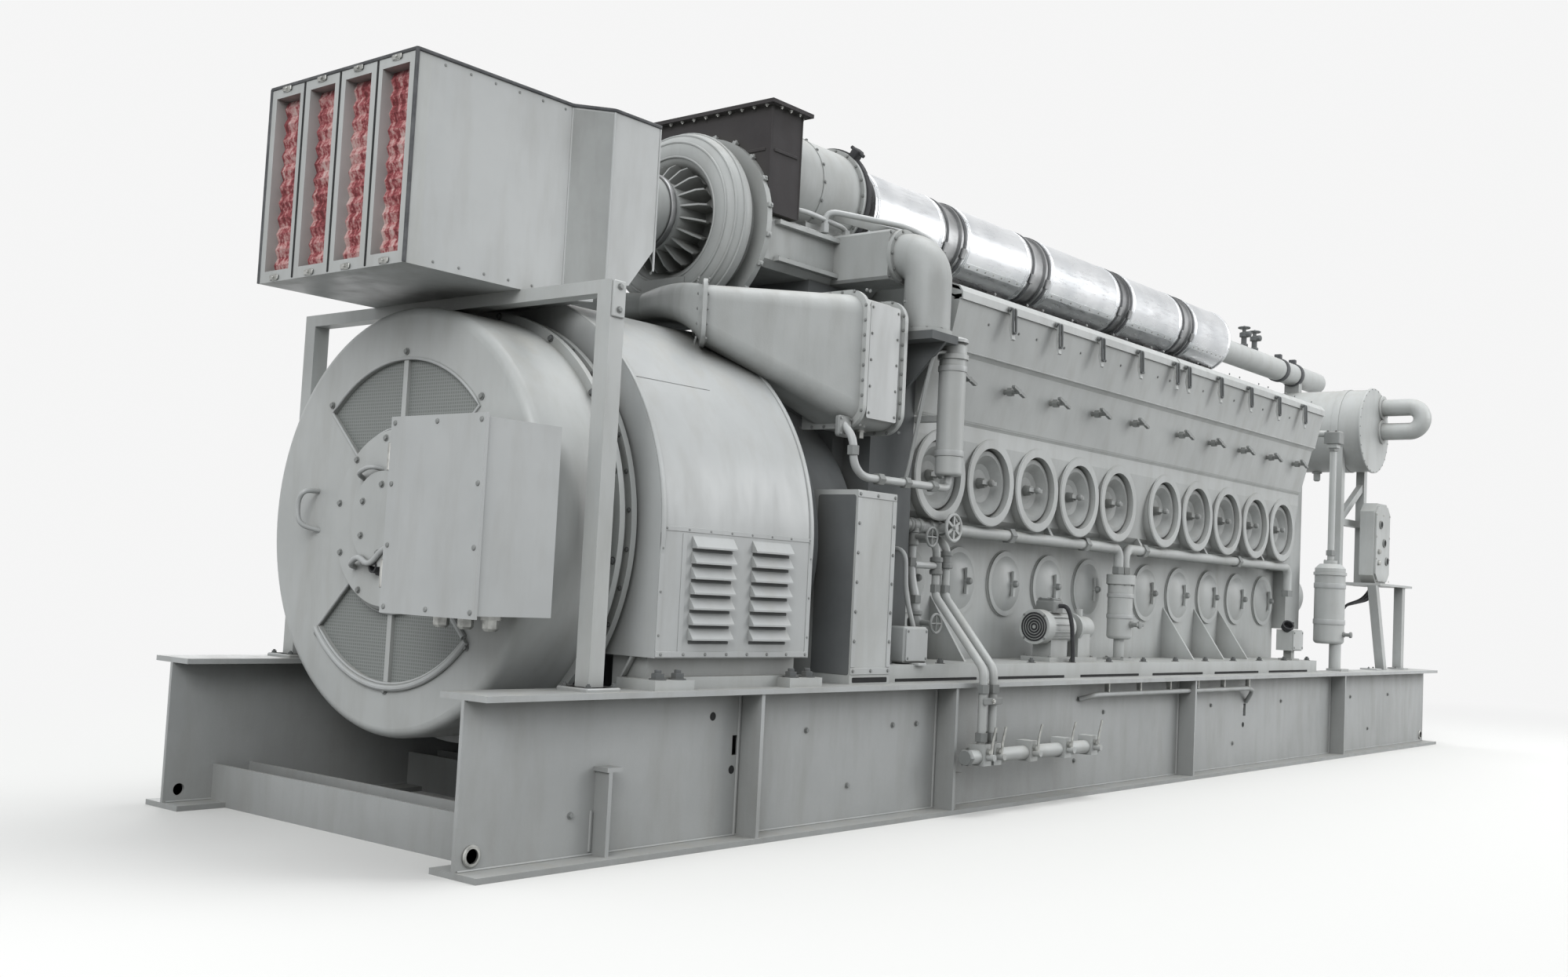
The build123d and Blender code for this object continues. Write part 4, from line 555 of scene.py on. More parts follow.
def stator_cover_fittings():
    """Lap seams, cover screws, dark strips of painted shadow under the pressed louvres and the
    two edge arches.
    """
    tilt = math.radians(38.5)
    slopes = both((0, math.cos(tilt), math.sin(tilt)))
    edges, low, high = (-3.735, -2.942), 0.657, 1.078
    fit("stator_cover_seams", GREY_PANEL,
        radial(plate(0.402, 0.012, 0.0022, 0.003), (COVER_X - 0.205, 0, CRANK_Z), 0.8598, slopes),
        sided(plate(0.812, 0.016, 0.0022, 0.003), (COVER_X, COVER_OUT, high)),
        sided(plate(0.022, 0.400, 0.0022, 0.004), spots((*edges, -3.628), COVER_OUT, 0.865)),
        sided(plate(0.812, 0.020, 0.0030, 0.003), (COVER_X, COVER_OUT, low)))
    fit("stator_cover_screws", GREY_BOLT,
        sided(PAN_HEAD, row((-3.72, 0.862, high), (-2.95, 0.862, high), 8), 0.0045),
        sided(PAN_HEAD, row((-3.72, 0.863, low), (-2.95, 0.863, low), 8), 0.0060),
        *[sided(PAN_HEAD, row((x, 0.862, 0.72), (x, 0.862, 1.01), 3), 0.0050) for x in edges])
    vents = spots((-3.485, -3.170), 0.8605, 0.6975 + 0.052 * np.arange(7))
    # Dark strips under each louvre hood: painted shadow
    fit("louvre_slots", GREY_SHADE, sided(plate(0.206, 0.010, 0.0010, 0.004), vents))
    arch = hoop(slab_outline(0.010, 0.020, 0.003), 0.8605, math.pi / 2, math.pi, 65)
    fit("stator_cover_arches", GREY_PANEL,
        placed(arch, spots((-3.736, -2.940), 0, CRANK_Z), BACK))


def footing_bolts():
    """Holding-down bolts of the alternator's pads, the base rails and the filter posts, the posts'
    shoes, and the dark gaps of the shims under the rails."""
    pads = both(spots((-3.735, -3.640, -3.035, -2.940), 0.870, BEAM_TOP + 0.034))
    rails = both(spots(np.arange(-2.25, 2.40, 0.3850), 0.745, RAIL_TOP))
    posts = both(four(POST_X, 0.818, BEAM_TOP + 0.012, 0.055, 0.055))
    fit("post_shoes", GREY_SKID,
        placed(plate(0.150, 0.150, 0.012, 0.010), both((POST_X, 0.818, BEAM_TOP)), UP))
    fit("holding_down_bolts", GREY_SHADE, placed(NUT_AND_STUD, pads, UP, 0.030),
        placed(NUT_AND_STUD, rails, UP, 0.021), placed(NUT_AND_STUD, posts, UP, 0.012))
    gaps = spots(np.arange(-1.95, 2.2, 0.78), 0.7902, 0.5475)
    fit("rail_shim_gaps", SHADOW, sided(plate(0.62, 0.012, 0.0015, 0.004), gaps))


def guard_fittings():
    """Coupling guard: a dark front panel of painted shade, edge laps, screws and a clearance slot on
    each side, and a dark sheet of painted shade rolled over the coupling."""
    shade_arc = hoop(slab_outline(0.003, 0.262, 0.001), 0.641, math.pi / 2 + 0.20, math.pi - 0.40, 65)
    screws = at("y", frame_row((-2.640, 0.575), (-2.375, 1.295), 0.016, 0.11), GUARD_OUT + 0.002)
    # Dark panel on each front face of the guard: painted shade
    fit("guard_front_panels", GREY_SHADE,
        placed(plate(0.186, 0.700, 0.0020, 0.010), both((-2.6400, 0.7430, 0.925)), FRONT))
    # Dark sheet over the coupling's arch: painted shade
    fit("coupling_hood_sheet", GREY_SHADE, placed(shade_arc, (GUARD_X, 0, CRANK_Z), BACK))
    fit("guard_laps", GREY_PANEL,
        sided(plate(0.262, 0.026, 0.003, 0.004), spots(GUARD_X, GUARD_OUT, (0.590, 1.280))),
        sided(plate(0.026, 0.66, 0.003, 0.004), spots((-2.625, -2.390), GUARD_OUT, 0.935)))
    fit("guard_screws", GREY_BOLT, sided(HEX, screws, 0.0080))
    fit("guard_slots", SHADOW, sided(plate(0.230, 0.020, 0.0015, 0.005), (GUARD_X, GUARD_OUT, 0.556)))


# Intake filter box and its stand

def filter_box_fittings():
    """Frame clips, dark joints between the frames, sealed edges, folds, darker plates of painted
    shade on the slanting corners, the outlet ring, rivets and the stand's cleats."""
    front, half, wide, top = -4.514, 0.409, 0.500, 2.553
    clip = merged([plate(0.030, 0.022, 0.004, 0.004),
                   placed(plate(0.016, 0.050, 0.003, 0.003), (0, 0, 0.004), UP)])
    places = spots(front, (-0.30975, -0.10325, 0.10325, 0.30975), (1.877, 2.541))
    fit("frame_clips", PLATED,
        placed(clip, places, FRONT), placed(HEX, np.add(places, (-0.007, 0, 0)), FRONT, 0.0075))
    fit("frame_joints", SHADOW,
        placed(plate(0.011, 0.682, 0.0010, 0.004), spots(front, (-0.2065, 0.0, 0.2065), 2.208), FRONT))
    strip = slab_outline(0.012, 0.012, 0.003)
    edges = [carried(strip, row((-4.512, -half, top), (-4.512, half, top), 3), up=UP)]
    folds = beads(0.004, [(-3.840, half, 1.870), (-3.722, wide, 1.870)], (0, 0, 0.675), 8)
    folds += beads(0.004, (-3.490, wide, 2.02), (0, 0, 0.525), 8)
    for s in SIDES:
        plan = [(x, s * y, top) for x, y in ((-4.512, half), (-3.840, half), (-3.722, wide), (-3.488, wide))]
        edges.append(carried(strip, bent(plan, 0.01, 3), up=UP))
        edges.append(carried(strip, spots(-4.512, s * half, (1.864, 2.20, top))))
    fit("box_edge_seals", TRIM, *edges)
    fit("box_folds", GREY_PANEL, *folds)
    # Darker plates over the slanting corners of the box: painted shade
    fit("box_step_panels", GREY_INLET,
        placed(plate(0.143, 0.655, 0.0012, 0.004), both((-3.781, 0.4545, 2.2125)), both((-0.611, 0.792, 0))))
    ring = turned([(0.232, 0), (0.232, 0.010), (0.226, 0.013), (0.176, 0.013), (0.173, 0.010),
                   (0.173, 0)], 48)
    fit("box_outlet_ring", GREY_PANEL, placed(ring, (-3.486, 0, TURBO_Z), BACK))
    fit("box_rivets", GREY_BOLT, placed(HEX, circle((-3.473, 0, TURBO_Z), 0.206, 16), BACK, 0.0085),
        placed(PAN_HEAD, at("x", frame_row((-0.50, 2.0), (0.50, top), 0.016, 0.118), -3.486), BACK, 0.006),
        sided(PAN_HEAD, spots(np.arange(-4.40, -3.86, 0.105), half, (1.885, 2.530)), 0.0050))
    fit("stand_cleats", GREY, sided(plate(0.056, 0.120, 0.008, 0.006), (POST_X, 0.850, 1.80)))
    fit("stand_bolts", GREY_BOLT, sided(HEX, spots(POST_X, 0.858, (1.765, 1.840)), 0.012))


# Turbocharger, exhaust and charge air

def turbo_fittings():
    """Scroll clamps and ribs, inlet bands, bolts of the gear case and the elbows, the oil lines
    on top and the braces."""
    dog = merged([plate(0.030, 0.026, 0.016, 0.004), placed(HEX, (0, 0, 0.016), UP, 0.010)])
    fit("scroll_clamps", GREY_CAST,
        radial(dog, (-2.716, 0, TURBO_Z), 0.383, circle(CENTRE, 1, 20, math.pi / 20), 0.8))
    band = slab_outline(0.010, 0.030, 0.003)
    fit("inlet_bands", STAINLESS,
        rings(band, 0.1965, (-3.3735, 0, TURBO_Z)), rings(band, 0.158, (-3.045, 0, TURBO_Z)),
        placed(plate(0.040, 0.024, 0.014, 0.004), (-3.3735, -0.142, TURBO_Z + 0.142), (0, -1, 1)))
    ribs = []
    for turn in np.radians((8, 38, 68, 112)):
        r, x = 0.292 + 0.0805 * math.cos(turn), -2.842 - 0.0805 * math.sin(turn)
        ribs.append(rings(disc_outline(0.0055, 8), r, (x, 0, TURBO_Z), steps=72))
    fit("scroll_ribs", GREY_CAST, *ribs)
    fit("turbo_bolts", GREY_BOLT,
        placed(HEX, at("z", frame_row((-2.390, -0.310), (-2.060, -0.160), 0.016, 0.078), 2.466), UP, 0.0095),
        *[placed(HEX, both(row((-2.62, 0.365, z), (-2.26, 0.365, z), 7)), UP, 0.0085)
          for z in (2.260, 2.413)],
        sided(HEX, circle((-2.125, 0.658, 2.3275), 0.1105, 10, normal="y"), 0.0075),
        placed(HEX, both(circle((-2.125, 0.775, 2.003), 0.1050, 10, normal="z")), UP, 0.0060),
        sided(HEX, at("y", frame_row((-2.235, 2.221), (-2.015, 2.434), 0.013, 0.10), 0.6405), 0.0075))
    feed = [(-2.660, 0.300, 2.43), (-2.660, 0.300, 2.490), (-2.420, 0.345, 2.495), (-2.150, 0.345, 2.480),
            (-2.150, 0.345, 2.43)]
    back = [(-2.300, 0.345, 2.43), (-2.300, 0.345, 2.530), (-1.990, 0.560, 2.500), (-1.960, 0.700, 2.420),
            (-1.960, 0.735, 2.200)]
    lines = [pipe(np.multiply(line, (1, s, 1)), r, bend)
             for s in SIDES for line, r, bend in ((feed, 0.011, 0.05), (back, 0.013, 0.06))]
    nuts = both([(x, y, 2.452) for x, y in ((-2.660, 0.300), (-2.150, 0.345), (-2.300, 0.345))])
    fit("turbo_oil_lines", GREY_PANEL, *lines, placed(hex_bar(0.019, 0.02), nuts, UP))
    bar = slab_outline(0.036, 0.008, 0.002)
    fit("elbow_braces", GREY_CAST, *[
        carried(bar, row((-2.050, s * 0.165, 2.585), (-2.020, s * 0.640, 2.432), 3), up=BACK) for s in SIDES])


def exhaust_fittings():
    """Nuts, welds and ribs of the exhaust duct, the beads and bolts of the adapter, its V-band."""
    rim = [row((x, -0.340, 2.882), (x, 0.340, 2.882), 11) for x in (-2.717, -2.483)]
    rim += [row((-2.660, y, 2.882), (-2.540, y, 2.882), 3) for y in (-0.372, 0.372)]
    fit("exhaust_flange_nuts", PLATED, placed(NUT_AND_STUD, np.concatenate(rim), DOWN, 0.0105))
    fit("exhaust_duct_welds", HEAT_DARK,
        *beads(0.004, spots((-2.6995, -2.5005), 0.3555, 2.445), (0, 0, 0.433)),
        sided(plate(0.150, 0.014, 0.006, 0.003), (-2.600, 0.355, 2.70)),
        placed(plate(0.66, 0.014, 0.006, 0.003), (-2.700, 0, 2.70), FRONT))
    fit("adapter_beads", GREY_CAST,
        rings(slab_outline(0.008, 0.014, 0.003), 0.2355, on_manifold(-2.385, -2.180)))
    fit("adapter_bolts", GREY_BOLT, placed(HEX, circle((-1.905, 0, MANIFOLD_Z), 0.2440, 20), FRONT, 0.0075),
        placed(HEX, circle((-2.455, 0, MANIFOLD_Z), 0.186, 12), FRONT, 0.0085),
        radial(HEX, (-2.180, 0, MANIFOLD_Z), 0.2395, circle(CENTRE, 1, 18), 0.0085))
    middle = on_manifold(-1.872)
    ways = unit(both([(0, 0.62, 0.78), (0, 0.62, -0.78)]))
    fit("manifold_v_band", RUBBER, rings(slab_outline(0.012, 0.030, 0.004), 0.2535, middle),
        radial(plate(0.050, 0.040, 0.046, 0.006), middle, 0.250, ways),
        placed(hex_bar(0.009, 0.045), middle + 0.285 * ways, np.cross(ways, BACK)))


def lagging_fittings():
    """Swaged rings, lap joints with their screws, and the band straps and buckles of the lagging."""
    spans = [(-1.750, -1.165), (-0.960, -0.325), (-0.115, 0.700), (0.860, 1.540), (1.720, 2.290)]
    gaps = [(-1.165, -0.960), (-0.325, -0.115), (0.700, 0.860), (1.540, 1.720)]
    lows = both((0, math.cos(0.62), -math.sin(0.62)))
    around = circle(CENTRE, 1, 8, 0.3)
    swages, laps, screws = [], [], []
    for x0, x1 in spans:
        swages += on_manifold(x0 + 0.020, x0 + 0.034, x1 - 0.034, x1 - 0.020)
        laps.append(radial(plate(x1 - x0 - 0.09, 0.030, 0.0016, 0.002), on_manifold((x0 + x1) / 2), 0.2046,
                           lows))
        screws += [radial(PAN_HEAD, spot, 0.2062, lows, 0.0055)
                   for spot in on_manifold(*np.linspace(x0 + 0.08, x1 - 0.08, 7))]
        screws += [radial(PAN_HEAD, spot, 0.205, around, 0.0045)
                   for spot in on_manifold(x0 + 0.010, x1 - 0.010)]
    fit("lagging_rings", ALUMINIUM, rings(disc_outline(0.0032, 8), 0.205, swages))
    fit("lagging_laps", ALUMINIUM, *laps)
    fit("lagging_screws", PLATED, *screws)
    bands = on_manifold(*[x for x0, x1 in gaps for x in (x0 + 0.022, x1 - 0.022)])
    sides = unit(both((0, 0.93, -0.36)))
    fit("lagging_straps", TRIM, rings(slab_outline(0.0035, 0.020, 0.0012), 0.2062, bands))
    fit("lagging_buckles", STAINLESS,
        *[radial(plate(0.030, 0.052, 0.012, 0.004), x, 0.2065, sides) for x in bands])


def vent_fittings():
    """Two small valves on the vent pipe, its clamps near the tank and its flange bolts."""
    stem = turned([(0.030, 0), (0.030, 0.020), (0.020, 0.024), (0.020, 0.070), (0.033, 0.074), (0.033, 0.105),
                   (0.014, 0.112), (0.014, 0.150), (0.006, 0.152), (0.006, 0.158)], 16)
    outlet = turned([(0.024, 0), (0.024, 0.050), (0.016, 0.056)], 14)
    places = np.array([(2.985, 0, 2.772), (3.170, 0, 2.772)])
    fit("vent_valves", GREY_SHADE, placed(stem, places, UP, 0.95),
        rings(disc_outline(0.006, 8), 0.038, places + (0, 0, 0.136), UP, 24),
        placed(outlet, places + (0, 0, 0.088), NEAR, 0.9))
    fit("vent_clamps", TRIM, rings(slab_outline(0.010, 0.050, 0.003), 0.083, on_manifold(3.62, 3.90)),
        placed(plate(0.050, 0.034, 0.030, 0.004), [(3.90, 0, 2.783), (3.62, 0, 2.783)], UP))
    fit("vent_flange_bolts", GREY_BOLT, placed(HEX, circle((2.334, 0, MANIFOLD_Z), 0.093, 8), BACK, 0.009))


def charge_air_fittings():
    """Bolt rows on the duct mouths and on the aftercoolers' lips, drain plugs below and the
    coolers' side panels."""
    bolts = []
    pairs = frame_row((-0.145, -0.1225), (0.145, 0.1225), 0.0105, 0.052)
    for s in SIDES:
        axis = unit((1, s, 0))
        across = np.array((-axis[1], axis[0], 0)) * s
        mouth = (-3.190, s * 0.470, 1.915) + pairs[:, :1] * across + pairs[:, 1:] * np.array(UP)
        bolts += [placed(HEX, mouth + 0.0165 * way, way, 0.0085) for way in (-axis, axis)]
    lips = frame_row((0.484, 1.544), (0.806, 2.101), 0.008, 0.058)
    lips = lips[(lips[:, 0] < 0.50) | (lips[:, 0] > 0.79) | (lips[:, 1] > 2.08) | (lips[:, 1] < 1.56)]
    for x, way in ((-2.585, FRONT), (-2.322, FRONT), (-2.563, BACK)):
        bolts.append(placed(HEX, both(at("x", lips, x)), way, 0.0070))
    fit("charge_air_bolts", GREY_BOLT, *bolts)
    plug = turned([(0.024, 0), (0.024, 0.010), (0.016, 0.010), (0.016, 0.034)], 12, hexed=(2, 3))
    fit("cooler_drain_plugs", PLATED, placed(plug, both(spots((-2.50, -2.38), 0.645, 1.560)), DOWN))
    fit("cooler_side_panels", GREY_PANEL, sided(plate(0.205, 0.470, 0.004, 0.010), (-2.4425, 0.790, 1.8225)))
    rim = spots((-2.53, -2.355), 0.794, np.linspace(1.61, 2.035, 5))
    fit("cooler_panel_screws", GREY_BOLT, sided(HEX, rim, 0.0065))


def side_lines():
    """Small lines on the near side by the coolers: the drain elbow, the vent line, their fittings
    and the lube filter's bands and cap."""
    fit("cooler_drain_line", GREY_PANEL, pipe([
        (-2.630, -0.740, 1.560), (-2.630, -0.800, 1.500), (-2.625, -0.800, 1.400), (-2.560, -0.800, 1.350),
        (-2.060, -0.812, 1.352), (LUBE_X, LUBE_Y, 1.352), (LUBE_X, LUBE_Y, 1.410)], 0.0165, 0.05))
    fit("lube_vent_line", GREY_BOLT, pipe([
        (-1.990, -0.820, 1.930), (-2.120, -0.820, 1.915), (-2.165, -0.820, 1.800), (-2.264, -0.815, 1.420),
        (-2.275, -0.805, 1.355)], 0.0085, 0.05))
    union = hex_bar(0.025, 0.018)
    places = [(-2.45, -0.802, 1.351), (-2.27, -0.806, 1.352), (-2.08, -0.811, 1.352)]
    corners = spots((-2.660, -2.600), -0.758, (1.515, 1.575))
    fit("side_line_unions", GREY_BOLT,
        placed(union, places, BACK), placed(union, (-2.628, -0.800, 1.450), UP),
        placed(plate(0.085, 0.085, 0.018, 0.014), (-2.630, -0.740, 1.545), NEAR),
        placed(HEX, corners, NEAR, 0.008))
    cap = turned([(0.064, 0), (0.064, 0.012), (0.058, 0.018), (0.030, 0.026)], 24)
    fit("lube_filter_bands", GREY_PANEL,
        rings(slab_outline(0.005, 0.026, 0.002), 0.0595, spots(LUBE_X, LUBE_Y, (1.50, 1.86)), UP, 32),
        placed(cap, (LUBE_X, LUBE_Y, 1.972), UP))


# Engine

def deck_fittings():
    """Hinge screws, latch pins and hooks on the four lids, the pins and hooks dark as painted
    shade, and the trough's studs and welds.
    """
    pin = turned(two_ended([(0.007, 0.024), (0.004, 0.026)]), 12)
    leg = [(-0.012, 0.062, 0.004), (-0.012, 0.062, 0.020), (-0.012, -0.050, 0.024)]
    hook = pipe(leg + [(-x, y, z) for x, y, z in leg[::-1]], 0.0052, 0.012, 8)
    ends = (("rear", LATCH_STATIONS[:5], -1.896, 0.253), ("front", LATCH_STATIONS[5:], 0.261, 2.416))
    lids = [(s, f"{side}_{end}", *rest) for s, side in zip(SIDES, ("near", "far")) for end, *rest in ends]
    for s, lid, latches, x0, x1 in lids:
        studs = [(x, s * 0.8065, 2.244) for latch in latches for x in (latch - 0.14, latch + 0.14)
                 if x0 + 0.02 < x < x1 - 0.02]
        # Pins and hooks are dark grey, and the hooks thick: painted shade of the latches, which stand off the
        # lid
        fit(f"shaded_latch_hooks_{lid}", GREY_SHADE, placed(pin, spots(latches, s * 0.812, 2.196), BACK),
            placed(hook, spots(latches, s * 0.806, 2.140), (0, s, 0)), body=f"deck_lid_{lid}")
        ridge = row((x0 + 0.06, s * 0.330, 2.3905), (x1 - 0.06, s * 0.330, 2.3905), 15)
        fit(f"lid_screws_{lid}", GREY_BOLT, placed(PAN_HEAD, ridge, (0, s * 0.172, 0.518), 0.0085),
            placed(HEX, studs, (0, s, 0), 0.0065), body=f"deck_lid_{lid}")
    x0, x1 = BLOCK_ENDS
    fit("deck_welds", GREY, *beads(0.0045, (x0, 0.7425, 1.975), (x1 - x0, 0, 0)))
    studs = both(spots(np.add.outer(LATCH_STATIONS, (-0.13, 0.13)).ravel(), 0.7737, 2.112))
    fit("deck_studs", GREY_BOLT, placed(HEX, studs, np.sign(studs) * (0, 0.974, 0) + (0, 0, -0.226), 0.0070))


def crankcase_fittings():
    """Knobs of the covers, dark rings of painted shade round the port covers, and the weld beads
    of collars, domes and folded side plates.
    """
    knob = turned([(0.017, 0), (0.017, 0.010), (0.013, 0.018), (0.005, 0.021)], 12)
    fit("cover_knobs", GREY_BOLT, sided(knob, spots(STATIONS, 0.636, PORT_Z)),
        sided(knob, spots(PAN_STATIONS, 0.498, PAN_COVER_Z)))
    # A thick dark ring at the edge of each port cover: painted shade in the port's recess
    fit("cover_seals", GREY_SHADE,
        sided(hoop(disc_outline(0.0085, 6), 0.1530, steps=40), spots(STATIONS, 0.565, PORT_Z)))
    x0, x1 = BLOCK_ENDS
    fit("crankcase_welds", GREY,
        *beads(0.0045, (x0, 0.6475, 1.6850), (x1 - x0, 0, 0)),
        sided(hoop(disc_outline(0.0035, 6), 0.1600, steps=40),
              spots(PAN_STATIONS, 0.436, PAN_COVER_Z)),
        sided(hoop(disc_outline(0.0045, 6), 0.1975, steps=48), spots(STATIONS, 0.6405, PORT_Z)))


def end_case_fittings():
    """Round covers and bolts on the accessory case, at the far end."""
    cover = turned([(0.150, 0), (0.150, 0.014), (0.142, 0.020), (0.060, 0.026), (0.020, 0.026)], 32)
    places = [(0.0, 1.62), (-0.30, 1.40), (0.30, 1.40)]
    fit("gear_covers", GREY_CAST, placed(cover, at("x", places, 2.800), BACK, 0.8))
    fit("accessory_bolts", GREY_BOLT,
        placed(HEX, at("x", frame_row((-0.520, 0.800), (0.520, 1.950), 0.024, 0.115), 2.800), BACK, 0.013),
        *[placed(HEX, circle((2.811, y, z), 0.106, 8, 0.2), BACK, 0.0085) for y, z in places])


def pump_and_filter_fittings():
    """Details of the pump and its motor, the strainer, the gallery pipe, the fuel filter and the
    junction box."""
    motor_x, strainer_x = -0.760, 0.060
    tap = turned([(0.020, 0), (0.020, 0.012), (0.012, 0.014), (0.012, 0.044), (0.020, 0.046), (0.020, 0.058),
                  (0.010, 0.060)], 12, hexed=(0, 1))
    union = hex_bar(0.038, 0.020)
    fit("pump_motor_cable", RUBBER, pipe([
        (motor_x, -0.690, 0.880), (motor_x, -0.740, 0.880), (-0.755, -0.765, 0.800), (-0.740, -0.768, 0.615)],
        0.0105, 0.04))
    fit("small_valves_and_unions", GREY_BOLT,
        placed(plate(0.110, 0.085, 0.062, 0.012), (motor_x, PUMP_Y, 0.846), UP),
        placed(plate(0.098, 0.073, 0.008, 0.012), (motor_x, PUMP_Y, 0.908), UP),
        placed(tap, [(strainer_x, -0.664, 0.800), (FUEL_X, -0.794, 0.780)], NEAR),
        carried(slab_outline(0.016, 0.006, 0.002), row((0.020, -0.718, 0.800), (0.100, -0.718, 0.800), 4),
                up=(0, 1, 0)),
        placed(union, spots((0.300, -0.360, 1.560, -1.100), GALLERY_Y, GALLERY_Z), BACK),
        placed(union, spots((0.025, 0.095), GALLERY_Y, 1.082), UP, 0.9),
        placed(union, (2.380, GALLERY_Y, 1.030), UP, 0.95),
        placed(plate(0.110, 0.090, 0.084, 0.012), (FUEL_X, FUEL_Y, 2.052), UP),
        placed(union, [(FUEL_X, FUEL_Y, 1.320), (FUEL_X, FUEL_Y, 2.020)], UP, 0.85))
    fit("filter_bands", GREY_PANEL,
        rings(slab_outline(0.005, 0.022, 0.002), 0.0675, spots(strainer_x, GALLERY_Y, (0.84, 0.95)), UP, 36),
        rings(slab_outline(0.006, 0.034, 0.002), 0.0995, spots(FUEL_X, FUEL_Y, (0.86, 1.10)), UP, 40))
    fit("small_bolts", GREY_BOLT,
        placed(PAN_HEAD, four(motor_x, PUMP_Y, 0.916, 0.04, 0.028), UP, 0.006),
        placed(HEX, circle((-0.902, PUMP_Y, PUMP_Z), 0.079, 4, 0.78), FRONT, 0.006),
        placed(HEX, circle((-0.530, PUMP_Y, PUMP_Z), 0.064, 6), FRONT, 0.0085),
        placed(HEX, four(-0.65, PUMP_Y, 0.632, 0.21, 0.066), UP, 0.011),
        placed(HEX, circle((strainer_x, GALLERY_Y, 1.010), 0.0695, 8, normal="z"), DOWN, 0.0075),
        placed(HEX, four(strainer_x, GALLERY_Y, 0.622, 0.045, 0.045), UP, 0.010),
        placed(HEX, circle((FUEL_X, FUEL_Y, 1.2690), 0.036, 6, normal="z"), UP, 0.0065),
        placed(HEX, four(FUEL_X, FUEL_Y, 2.136, 0.036, 0.028), UP, 0.008),
        placed(PAN_HEAD, at("y", frame_row((2.102, 0.677), (2.258, 0.793), 0.012, 0.12), -0.760), NEAR,
               0.007))
    grille = [rings(disc_outline(0.0042, 6), r, (-0.902, PUMP_Y, PUMP_Z), FRONT, 32)
              for r in (0.014, 0.027, 0.040, 0.053, 0.066)]
    gland = turned([(0.024, 0), (0.024, 0.012), (0.036, 0.016), (0.036, 0.050), (0.028, 0.050),
                    (0.026, 0.014), (0.006, 0.014)], 24)
    fit("grilles_and_glands", RUBBER, *grille, placed(gland, (2.120, -0.700, 0.800), (-0.55, -0.55, 0.63)),
        placed(turned([(0.016, 0), (0.016, 0.03), (0.020, 0.034), (0.020, 0.05)], 16), (2.20, -0.700, 0.798),
               UP))


def rear_valve_cluster():
    """Pipes and valves at the pan's alternator end, near side: inlet line, stop valve, terminal box."""
    riser_x, elbow_x = -1.905, -2.080
    stop_x, stop_y = -1.915, -0.640
    tap_xs, tap_y = (-1.730, -1.650), -0.614
    fit("rear_lines", GREY_PANEL,
        pipe([(-1.788, GALLERY_Y, GALLERY_Z), (-2.040, GALLERY_Y, GALLERY_Z), (elbow_x, -0.520, GALLERY_Z),
              (elbow_x, -0.430, GALLERY_Z)], 0.024, 0.07, 14),
        pipe([(riser_x, GALLERY_Y, GALLERY_Z), (riser_x, GALLERY_Y, 0.980), (stop_x, stop_y, 0.880),
              (stop_x, stop_y, 0.600)], 0.020, 0.07, 14),
        pipe([(elbow_x, -0.500, 1.090), (elbow_x, -0.690, 1.090), (elbow_x, -0.700, 0.900),
              (-2.020, -0.745, 0.640), (-1.985, -0.745, 0.606)], 0.0105, 0.06),
        pipe([(tap_xs[0], tap_y, 1.030), (riser_x, tap_y, 1.030)], 0.016, 0.02))
    tee = turned(two_ended([(0.029, 0.018), (0.034, 0.022), (0.034, 0.040), (0.030, 0.045)]), 20)
    union = hex_bar(0.026, 0.018)
    body = turned(two_ended([(0.034, 0.012), (0.024, 0.030), (0.030, 0.035), (0.030, 0.050),
                             (0.026, 0.055)]), 20)
    stem = turned([(0.012, 0), (0.012, 0.050), (0.006, 0.052), (0.006, 0.085)], 12)
    wheel = merged([hoop(disc_outline(0.006, 8), 0.040, steps=28), bead(0.004, (-0.040, 0, 0), (0.040, 0, 0)),
                    carried(disc_outline(0.004, 6), row((0, -0.040, 0), (0, 0.040, 0), 3), up=(1, 0.2, 0.1))])
    stems = np.array([(stop_x, stop_y - 0.028, 0.780), (riser_x, -0.622, 1.150)])
    fit("rear_valves", GREY_BOLT,
        placed(tee, [(riser_x, GALLERY_Y, GALLERY_Z), (-1.960, GALLERY_Y, GALLERY_Z)], BACK),
        placed(tee, [(riser_x, GALLERY_Y, 1.150), (tap_xs[0], tap_y, 1.030), (tap_xs[1], tap_y, 1.060)],
               UP, 0.86),
        placed(body, (stop_x, stop_y, 0.780), UP), placed(union, (riser_x, GALLERY_Y, 1.040), UP),
        placed(union, [(stop_x, stop_y, 0.880), *spots(tap_xs, tap_y, 0.930)], UP, 0.95),
        placed(stem, stems, NEAR), placed(wheel, stems - (0, 0.080, 0), NEAR))
    box_x, box_z = -2.090, 0.690
    fit("rear_terminal_box", GREY_PANEL,
        placed(plate(0.170, 0.150, 0.070, 0.010), (box_x, -0.700, box_z), NEAR),
        placed(plate(0.156, 0.136, 0.006, 0.008), (box_x, -0.770, box_z), NEAR),
        placed(plate(0.150, 0.060, 0.010, 0.006), (box_x, -0.735, 0.606), UP))
    heads = at("y", frame_row((-2.168, 0.622), (-2.012, 0.758), 0.012, 0.14), -0.776)
    fit("rear_box_screws", GREY_BOLT, placed(PAN_HEAD, heads, NEAR, 0.006))


